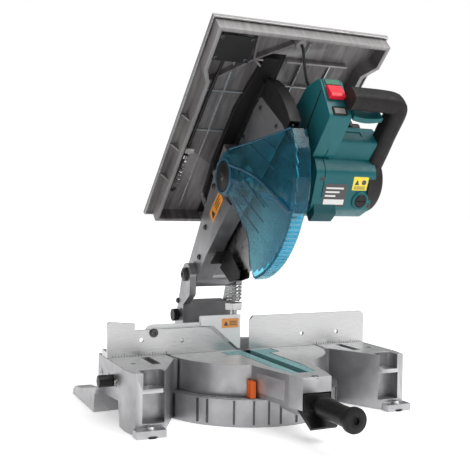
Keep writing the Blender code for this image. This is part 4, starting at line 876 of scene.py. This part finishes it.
def guards():
    """The clear guard in two nested halves, with the ribs moulded into its cone."""
    place = HEAD @ Matrix.Translation((0, BLADE_AXIS.y, BLADE_AXIS.z))
    for name, body, outline, inset in (
        ("guard_upper", "upper_guard", UPPER_CUT, 0.0),
        ("guard_lower", "lower_guard", LOWER_CUT, 0.0022),
    ):
        mesh = combined(guard_shell(inset), [prism(outline, "X", -0.1, 0.1)], "INTERSECT")
        made = add(name + "_shell", mesh, GUARD, body, place)
        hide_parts(name)
    hub_ring = [(0.0250, -0.0508), (0.0295, -0.0500), (0.0305, -0.0440), (0.0250, -0.0440)]
    add("hub_ring", lathe(hub_ring, "X", (0, 0), 48), RIB_BLUE, "upper_guard", place)
    ribs = []
    for points, width in (
        (((-0.030, -0.004), (-0.060, -0.062), (-0.075, -0.146)), 0.0022),
        (((-0.0395, 0.0205), (-0.100, -0.0215), (-0.156, -0.0585)), 0.0014),
        (((-0.080, -0.012), (-0.087, -0.048), (-0.094, -0.084)), 0.0010),
        (((-0.103, -0.024), (-0.109, -0.040), (-0.114, -0.059)), 0.0010),
        (((-0.039, -0.042), (-0.040, -0.072), (-0.040, -0.103)), 0.0011),
    ):
        route = [cone_place(*point) for point in points]
        ribs.append(wire(smooth(route, 6), width, 8, (1, 0, 0)))
    add("guard_upper_ribs", joined(ribs), RIB_BLUE, "upper_guard", place)
    ribs = []
    for points, width in (
        (((-0.013, -0.036), (-0.015, -0.074), (-0.017, -0.112)), 0.0012),
        (((0.006, -0.040), (0.006, -0.076), (0.006, -0.113)), 0.0012),
        (((0.011, -0.030), (0.017, -0.055), (0.030, -0.094), (0.076, -0.121)), 0.0013),
    ):
        route = [cone_place(*point, lift=-0.0034) for point in points]
        ribs.append(wire(smooth(route, 6), width, 8, (1, 0, 0)))
    add("guard_lower_ribs", joined(ribs), RIB_BLUE, "lower_guard", place)
    slots = []
    for k in range(22):
        middle = -64 - 2.7 * k
        start, end = math.radians(middle - 0.8), math.radians(middle + 0.8)
        near, far = RIM_RADIUS - 0.0026, RIM_RADIUS - 0.0016
        edges = ((far, start), (far, end), (near, end), (near, start))
        outline = [(-radius * math.cos(angle), radius * math.sin(angle)) for radius, angle in edges]
        slots.append(prism(outline, "X", -0.0095, 0.0095))
    add("guard_slots", joined(slots), GUARD_RIM, "lower_guard", place)
    cap = [(0.0, -0.0520), (0.0120, -0.0520), (0.0140, -0.0510), (0.0235, -0.0505)]
    cap += [(0.0240, -0.0490), (0.0240, -0.0460), (0, -0.0460)]
    made = add("hub_cap_skin", lathe(cap, "X", (0, 0), 48), BLACK, node_body("hub_cap"), place)
    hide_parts("hub_cap")
    hub_screw = screw((-0.0518, 0, 0), (-1, 0, 0), 0.0055, 0.0016)
    add("hub_screw", hub_screw, DARK_STEEL, node_body("hub_cap"), place)


# ---------------- upper table


def table():
    """The ribs, lip, screws and spring hook under the upper table, and its machined face. The ribs and the
    lip are in a lighter metal as a painted highlight.
    """
    ribs = []
    for start, end, low in (
        ((-0.112, -0.450), (0.172, -0.450), 0.0935),
        ((-0.098, -0.330), (-0.024, -0.330), 0.0955),
        ((-0.098, -0.250), (-0.036, -0.250), 0.0955),
        ((-0.060, -0.385), (-0.060, -0.065), 0.0965),
        ((0.050, -0.430), (0.050, -0.065), 0.0965),
        ((0.100, -0.395), (0.100, -0.065), 0.0965),
        ((0.024, -0.350), (0.150, -0.350), 0.0955),
        ((0.024, -0.200), (0.150, -0.200), 0.0955),
        ((0.024, -0.120), (0.150, -0.120), 0.0955),
    ):
        ribs.append(strip(start, end, 0.0011, low, 0.1005))
    # The ribs' lighter metal is a painted highlight.
    bevel(add("table_ribs", joined(ribs), TABLE_EDGE_HIGHLIGHT, "table", HEAD), 0.0004)
    # The lip is a lighter strip round the table's edge: a painted highlight line.
    lip = combined(
        slab((-0.1178, 0.1778), (-0.4578, -0.0482), (0.0975, 0.1000)),
        [slab((-0.1155, 0.1755), (-0.4555, -0.0505), (0.09, 0.11))],
    )
    bevel(add("table_lip", lip, TABLE_EDGE_HIGHLIGHT, "table", HEAD), 0.0004)
    gaps = [slab((-0.0206, 0.0206), (-0.4056, -0.0539), (0.09, 0.12))]
    for x in (-0.090, -0.060, 0.060, 0.100, 0.140):
        gaps.append(slab((x, x + 0.0012), (-0.47, -0.03), (0.1041, 0.12)))
    face = slab((-0.1175, 0.1775), (-0.4575, -0.0485), (0.1036, 0.1043))
    add("table_face", combined(face, gaps), PLATE_TOP, "table", HEAD)
    heads = []
    for x in (-0.103, -0.056):
        for y in (-0.438, -0.403):
            heads.append(screw((x, y, 0.0774), (0, 0, -1), 0.0024, 0.0012))
    add("plate_screws", joined(heads), DARK_STEEL, "table", HEAD)
    route = smooth([(-0.0830, -0.2070, 0.0935), (-0.0840, -0.2150, 0.0930), (-0.0870, -0.2190, 0.0900)], 5)
    ring = [(0.0031, -0.206), (0.0052, -0.206), (0.0052, -0.199), (0.0031, -0.199)]
    hook = [wire(route, 0.0009, 8), lathe(ring, "Y", (-0.0897, 0.0860), 20)]
    add("spring_hook", joined(hook), SPRING, "table", HEAD)


def cable():
    """The thin cable from the switch tower to the table."""
    mesh = frame["nodes"]["control_cable"].data.copy()
    cleaned(mesh)
    mesh.materials.clear()
    mesh.materials.append(RUBBER)
    smooth_shaded(mesh)
    made = bpy.data.objects.new("control_cable_skin", mesh)
    bpy.context.scene.collection.objects.link(made)
    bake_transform(made)
    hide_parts("control_cable")


# ---------------- base and turntable


FOOT_FRONT = -0.1315


def ring_flutes():
    """Dark strips at the upright grooves in the front of the base ring, unevenly spaced: painted shade in
    the grooves. Angles in degrees.
    """
    grooves = []
    for start, width in (
        (-70, 1.4), (-53, 1.2), (-47, 1.2), (-31.5, 1.1), (-20.5, 1.1), (-12, 1.0),
        (-5, 1.0), (5, 1.0), (20, 1.0), (33, 1.0), (47, 1.0), (60, 1.0),
    ):
        low, high = start - 90, start + width - 90
        outline = arc((0, 0), 0.1512, low, high, 2) + arc((0, 0), 0.1488, high, low, 2)
        grooves.append(prism(outline, "Z", 0.004, 0.0385))
    add("ring_flutes", joined(grooves), DARK_STEEL, "base")


def wing(word, side):
    """What is on one wing: its machined top, its holes, the foot screw and the rubber feet."""
    outline = [(0.1372, 0.0485), (0.1365, -0.0370), (0.1775, -0.1145), (0.1800, -0.0995), (0.1985, -0.0960)]
    outline += [(0.2130, -0.0985), (0.2145, -0.1215), (0.2225, -0.1215), (0.2280, -0.0930), (0.2280, 0.0485)]
    outline = [(side * x, y) for x, y in outline]
    slot = slab(sorted((side * 0.166, side * 0.180)), (-0.066, -0.006), (0, 0.1))
    hole = (side * 0.205, -0.052)
    plate = prism(outline, "Z", WORK_HEIGHT - 0.0004, WORK_HEIGHT + 0.0004)
    plate = combined(plate, [slot, disc(hole, 0.0042, "Z", 0, 0.1, 24)])
    bevel(add("wing_top_" + word, plate, TOP, "base"), 0.0002, 1)
    # A black disc fills the hole up to just under the top: painted shade inside the hole.
    hole_shade_disc = disc(hole, 0.0040, "Z", 0.08, WORK_HEIGHT + 0.0001, 24)
    add("wing_hole_shade_" + word, hole_shade_disc, GAP_BLACK, "base")
    foot_x = side * 0.2035
    foot_screw = screw((foot_x, FOOT_FRONT, 0.0110), (0, 0, 1), 0.0060, 0.0040)
    add("foot_screw_" + word, foot_screw, STEEL, "base")
    ring = [(0.0020, 0), (0.0060, 0), (0.0060, 0.0012), (0.0038, 0.0012), (0.0036, 0.0004), (0.0020, 0.0004)]
    ports = joined([lathe(ring, "X", (y, 0.060), 24) for y in (-0.048, -0.008, 0.032)])
    ports.transform(Matrix.Translation((side * 0.2290, 0, 0)) @ Matrix.Scale(side, 4, (1, 0, 0)))
    add("side_ports_" + word, ports, STEEL, "base")
    pad = [(0, 0.0), (0.0105, 0.0), (0.0115, 0.0012), (0.0115, 0.0030), (0, 0.0030)]
    feet = [lathe(pad, "Z", (foot_x, y), 32) for y in (FOOT_FRONT, 0.150)]
    add("feet_" + word, joined(feet), RUBBER, "base")


def scales():
    """The degree marks before the turntable, and the ruler marks along the foot of the fences."""
    ticks = []
    for degree in range(-50, 51):
        length = 0.0085 if degree % 15 == 0 else 0.0065 if degree % 5 == 0 else 0.0040
        tick = slab((-0.00022, 0.00022), (-0.1475, -0.1475 + length), (0.0409, 0.0412))
        tick.transform(Matrix.Rotation(math.radians(degree), 4, "Z"))
        ticks.append(tick)
    add("mitre_ticks", joined(ticks), BLACK_LABEL, "base")
    ticks = []
    for side in (-1, 1):
        for k in range(20):
            x = side * (0.135 + 0.0045 * k)
            top = WORK_HEIGHT + (0.006 if k % 5 == 0 else 0.0035)
            ticks.append(slab((x - 0.0002, x + 0.0002), (-0.0006, -0.0001), (WORK_HEIGHT + 0.0008, top)))
    add("fence_ticks", joined(ticks), GAP_BLACK, "base")


def base():
    """What is on the base."""
    ring_flutes()
    wing("left", -1)
    wing("right", 1)
    scales()


def turntable():
    """The machined top, the dark lines round the kerf boards and the bolts of the arm."""
    disc_top = [(-0.1300, -0.0006), *arc((0, 0), 0.1300, 180, 360, 60)[1:-1], (0.1300, -0.0006)]
    arm_left = [(-0.0465, -0.110), (-0.0465, -0.1238), (-0.0296, -0.2050), (-0.0225, -0.2298)]
    room_left = [(-0.0184, -0.1956), (-0.0268, -0.1452), (-0.0268, -0.0408)]
    room_left += [(-0.0458, -0.0348), (-0.0458, -0.0032)]
    arm_top = arm_left + [(-x, y) for x, y in reversed(arm_left)]
    opening = room_left + [(-x, y) for x, y in reversed(room_left)]
    level = (WORK_HEIGHT - 0.0003, WORK_HEIGHT + 0.0003)
    top = combined(prism(disc_top, "Z", *level), [prism(arm_top, "Z", *level)], "UNION")
    top = combined(top, [prism(opening, "Z", 0, 0.2)])
    bevel(add("turntable_top_skin", top, TOP, "turntable"), 0.0002, 1)
    lines, heads, ribs = [], [], []
    for side in (-1, 1):
        edge = [(0.0262, -0.1450), (0.0262, -0.0400), (0.0452, -0.0340), (0.0452, -0.0038)]
        edge = [(side * x, y) for x, y in edge]
        for start, end in zip(edge, edge[1:]):
            lines.append(strip(start, end, 0.0008, WORK_HEIGHT - 0.001, WORK_HEIGHT + 0.0002))
        for x, y in ((0.0165, -0.178), (0.0200, -0.120), (0.0200, -0.060), (0.0200, -0.019)):
            heads.append(screw((side * x, y, WORK_HEIGHT - 0.0012), (0, 0, 1), 0.0024, 0.0013))
        ribs.append(strip((side * 0.0440, -0.1360), (side * 0.0322, -0.1960), 0.0009, 0.050, 0.078))
    bolts = [
        screw((0, -0.2240, WORK_HEIGHT - 0.0020), (0, 0, 1), 0.0055, 0.0026),
        screw((-0.0475, -0.1310, 0.060), (-0.3, -1, 0), 0.0022, 0.0010),
    ]
    for name, meshes, look in (
        ("board_lines", lines, GAP_BLACK),
        ("board_screws", heads, STEEL),
        ("arm_bolts", bolts, DARK_STEEL),
        ("arm_ribs", ribs, CAST),
    ):
        add(name, joined(meshes), look, "turntable")


GRIP_FRONT = -0.3265
GRIP_BACK = -0.2345
GRIP_HEIGHT = 0.050


def grip():
    """The turned grip with its flange and the hexagonal socket in its end."""
    profile = [(0.0053, GRIP_BACK), (0.0053, GRIP_FRONT), (0.0140, GRIP_FRONT)]
    for radius, along in (
        (0.0164, 0.0010), (0.0172, 0.0030), (0.0172, 0.0080), (0.0164, 0.0105), (0.0146, 0.0130),
        (0.0138, 0.0200), (0.0134, 0.0350), (0.0139, 0.0500), (0.0147, 0.0640), (0.0150, 0.0730),
        (0.0142, 0.0800), (0.0112, 0.0850), (0.0102, 0.0890),
    ):
        profile.append((radius, GRIP_FRONT + along))
    profile.append((0.0097, GRIP_BACK))
    flutes = []
    for x, z in arc((0, GRIP_HEIGHT), 0.0172, 0, 315, 7):
        flutes.append(disc((x, z), 0.0026, "Y", GRIP_FRONT + 0.018, GRIP_FRONT + 0.072, 12))
    body = combined(lathe(profile, "Y", (0, GRIP_HEIGHT), 48), flutes)
    made = add("mitre_grip_skin", body, BLACK, "grip")
    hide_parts("mitre_grip")
    plug = disc((0, GRIP_HEIGHT), 0.0098, "Y", GRIP_FRONT - 0.0002, GRIP_FRONT + 0.004, 32)
    socket = prism(arc((0, GRIP_HEIGHT), 0.0052, 0, 300, 5), "Y", GRIP_FRONT - 0.01, GRIP_FRONT + 0.003)
    add("grip_socket", combined(plug, [socket]), GAP_BLACK, "grip")


def spring():
    """The spring on the pin behind the fence."""
    low, high = SPRING_SPAN
    steps = SPRING_TURNS * 24
    points = []
    for i in range(steps + 1):
        angle = 2 * math.pi * SPRING_TURNS * i / steps
        x, y = SPRING_RADIUS * math.cos(angle), SPRING_Y + SPRING_RADIUS * math.sin(angle)
        points.append((x, y, low + (high - low) * i / steps))
    coil = wire(points, SPRING_WIRE, 10, (0, 0, 1))
    made = add("return_spring_coil", coil, SPRING, node_body("return_spring"))
    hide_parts("return_spring")
    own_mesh(made)


def fences():
    """The label of the sub-fence and the socket of its pivot screw."""
    front = Matrix(((1, 0, 0, 0), (0, 0, -1, 0), (0, 1, 0, 0), (0, 0, 0, 1)))
    sticker("sub_fence_label", ORANGE_LABEL, ((-0.0410, 0.1240), (-0.0120, 0.1390)), front, "sub_fence")
    signs = [prism([(-0.038, 0.1275), (-0.030, 0.1275), (-0.034, 0.1350)], "Z", *PRINT)]
    for k in range(3):
        low = 0.1280 + 0.0028 * k
        signs.append(slab((-0.028, -0.015), (low, low + 0.0012), PRINT))
    add("sub_fence_signs", joined(signs), BLACK_LABEL, "sub_fence", front)
    pivot = screw((-0.156, -0.0022, 0.122), (0, -1, 0), 0.0050, 0.0022)
    add("pivot_socket", pivot, DARK_STEEL, node_body("sub_fence_screw"))


def bracket():
    """The screws and the two beads on the left of the bevel bracket."""
    screws = []
    for place, radius, depth in (
        ((-0.0500, 0.176, 0.088), 0.0050, 0.0035),
        ((-0.0500, 0.176, 0.150), 0.0042, 0.0030),
        ((-0.0553, 0.138, 0.200), 0.0080, 0.0022),
    ):
        screws.append(screw(place, (-1, 0, 0), radius, depth))
    add("bracket_screws", joined(screws), DARK_STEEL, "bevel")
    beads = [slab((-0.0504, -0.0499), (0.156, 0.190), (z, z + 0.0016)) for z in (0.104, 0.112)]
    bevel(add("bracket_beads", joined(beads), CAST, "bevel"), 0.0004)


# ---------------- stage


FLOOR_HALF = 30
FLOOR_GLOW = 0.42
SKY_STRENGTH = 0.42
PAPER = (0.95, 0.95, 0.95, 1.0)
WHITE_LIGHT = (1.0, 1.0, 1.0, 1.0)


def stage():
    floor = bpy.data.meshes.new("floor")
    corners = [(x, y, 0) for x, y in rectangle(-FLOOR_HALF, -FLOOR_HALF, FLOOR_HALF, FLOOR_HALF)]
    floor.from_pydata(corners, [], [(0, 1, 2, 3)])
    made = bpy.data.objects.new("floor", floor)
    bpy.context.scene.collection.objects.link(made)
    paint = Paint("floor_paper").set(Roughness=0.9, Specular_IOR_Level=0.1, Base_Color=PAPER)
    paint.set(Emission_Color=WHITE_LIGHT, Emission_Strength=FLOOR_GLOW)
    floor.materials.append(paint.material)


def lamp(name, place, aim, size, power):
    light = bpy.data.lights.new(name, "AREA")
    light.shape = "RECTANGLE"
    light.size, light.size_y = size
    light.energy = power
    made = bpy.data.objects.new(name, light)
    bpy.context.scene.collection.objects.link(made)
    made.location = place
    made.rotation_euler = (Vector(aim) - Vector(place)).to_track_quat("-Z", "Y").to_euler()


def studio():
    """A white surround for the camera, and for the metals a sky that is dark low down and light above."""
    world = bpy.data.worlds.new("studio")
    bpy.context.scene.world = world
    world.use_nodes = True
    tree = world.node_tree
    back = tree.nodes["Background"]
    back.inputs["Color"].default_value = WHITE_LIGHT
    back.inputs["Strength"].default_value = 1.0
    room = tree.nodes.new("ShaderNodeBackground")
    room.inputs["Strength"].default_value = SKY_STRENGTH
    place = tree.nodes.new("ShaderNodeTexCoord")
    parts = tree.nodes.new("ShaderNodeSeparateXYZ")
    fade = tree.nodes.new("ShaderNodeValToRGB")
    stops = fade.color_ramp.elements
    stops[0].position, stops[0].color = 0.0, (0.16, 0.16, 0.17, 1.0)
    stops[1].position, stops[1].color = 0.75, (1.0, 1.0, 1.0, 1.0)
    tree.links.new(place.outputs["Generated"], parts.inputs["Vector"])
    tree.links.new(parts.outputs["Z"], fade.inputs["Fac"])
    tree.links.new(fade.outputs["Color"], room.inputs["Color"])
    path = tree.nodes.new("ShaderNodeLightPath")
    mix = tree.nodes.new("ShaderNodeMixShader")
    tree.links.new(path.outputs["Is Camera Ray"], mix.inputs["Fac"])
    tree.links.new(room.outputs["Background"], mix.inputs[1])
    tree.links.new(back.outputs["Background"], mix.inputs[2])
    tree.links.new(mix.outputs["Shader"], tree.nodes["World Output"].inputs["Surface"])
    lamp("key", (1.6, -1.8, 2.4), (0, 0, 0.2), (1.6, 1.6), 44)
    lamp("side", (-2.2, -0.6, 1.6), (0, 0, 0.2), (1.0, 1.8), 5)
    sun = bpy.data.lights.new("overhead", "SUN")
    sun.energy = 1.5
    sun.angle = math.radians(60)
    made = bpy.data.objects.new("overhead", sun)
    bpy.context.scene.collection.objects.link(made)
    made.rotation_euler = (math.radians(18), math.radians(14), 0)
    bpy.context.scene.view_settings.view_transform = "Standard"


def camera():
    data = bpy.data.cameras.new("camera")
    data.lens = CAMERA_LENS
    data.sensor_width = SENSOR_WIDTH
    made = bpy.data.objects.new("camera", data)
    bpy.context.scene.collection.objects.link(made)
    flat = math.cos(CAMERA_PITCH)
    ahead = Vector((math.sin(CAMERA_YAW) * flat, math.cos(CAMERA_YAW) * flat, math.sin(CAMERA_PITCH)))
    level = Vector((math.cos(CAMERA_YAW), -math.sin(CAMERA_YAW), 0))
    upright = level.cross(ahead)
    right = level * math.cos(CAMERA_ROLL) + upright * math.sin(CAMERA_ROLL)
    up = upright * math.cos(CAMERA_ROLL) - level * math.sin(CAMERA_ROLL)
    turn = Matrix((right, up, -ahead)).transposed().to_4x4()
    made.matrix_world = Matrix.Translation(CAMERA_PLACE) @ turn
    bpy.context.scene.camera = made


stage()
studio()
camera()
for node, (look, width, slot) in NODE_LOOKS.items():
    dressed(node, look, width)
MOTOR_PARTS = (motor_shell, motor_labels, brush_cap, switch_face, handle, trigger)
HEAD_PARTS = (case, case_clip, arm_details, guards, table, cable)
STAND_PARTS = (base, turntable, grip, spring, fences, bracket)
for build in (*MOTOR_PARTS, *HEAD_PARTS, *STAND_PARTS):
    build()
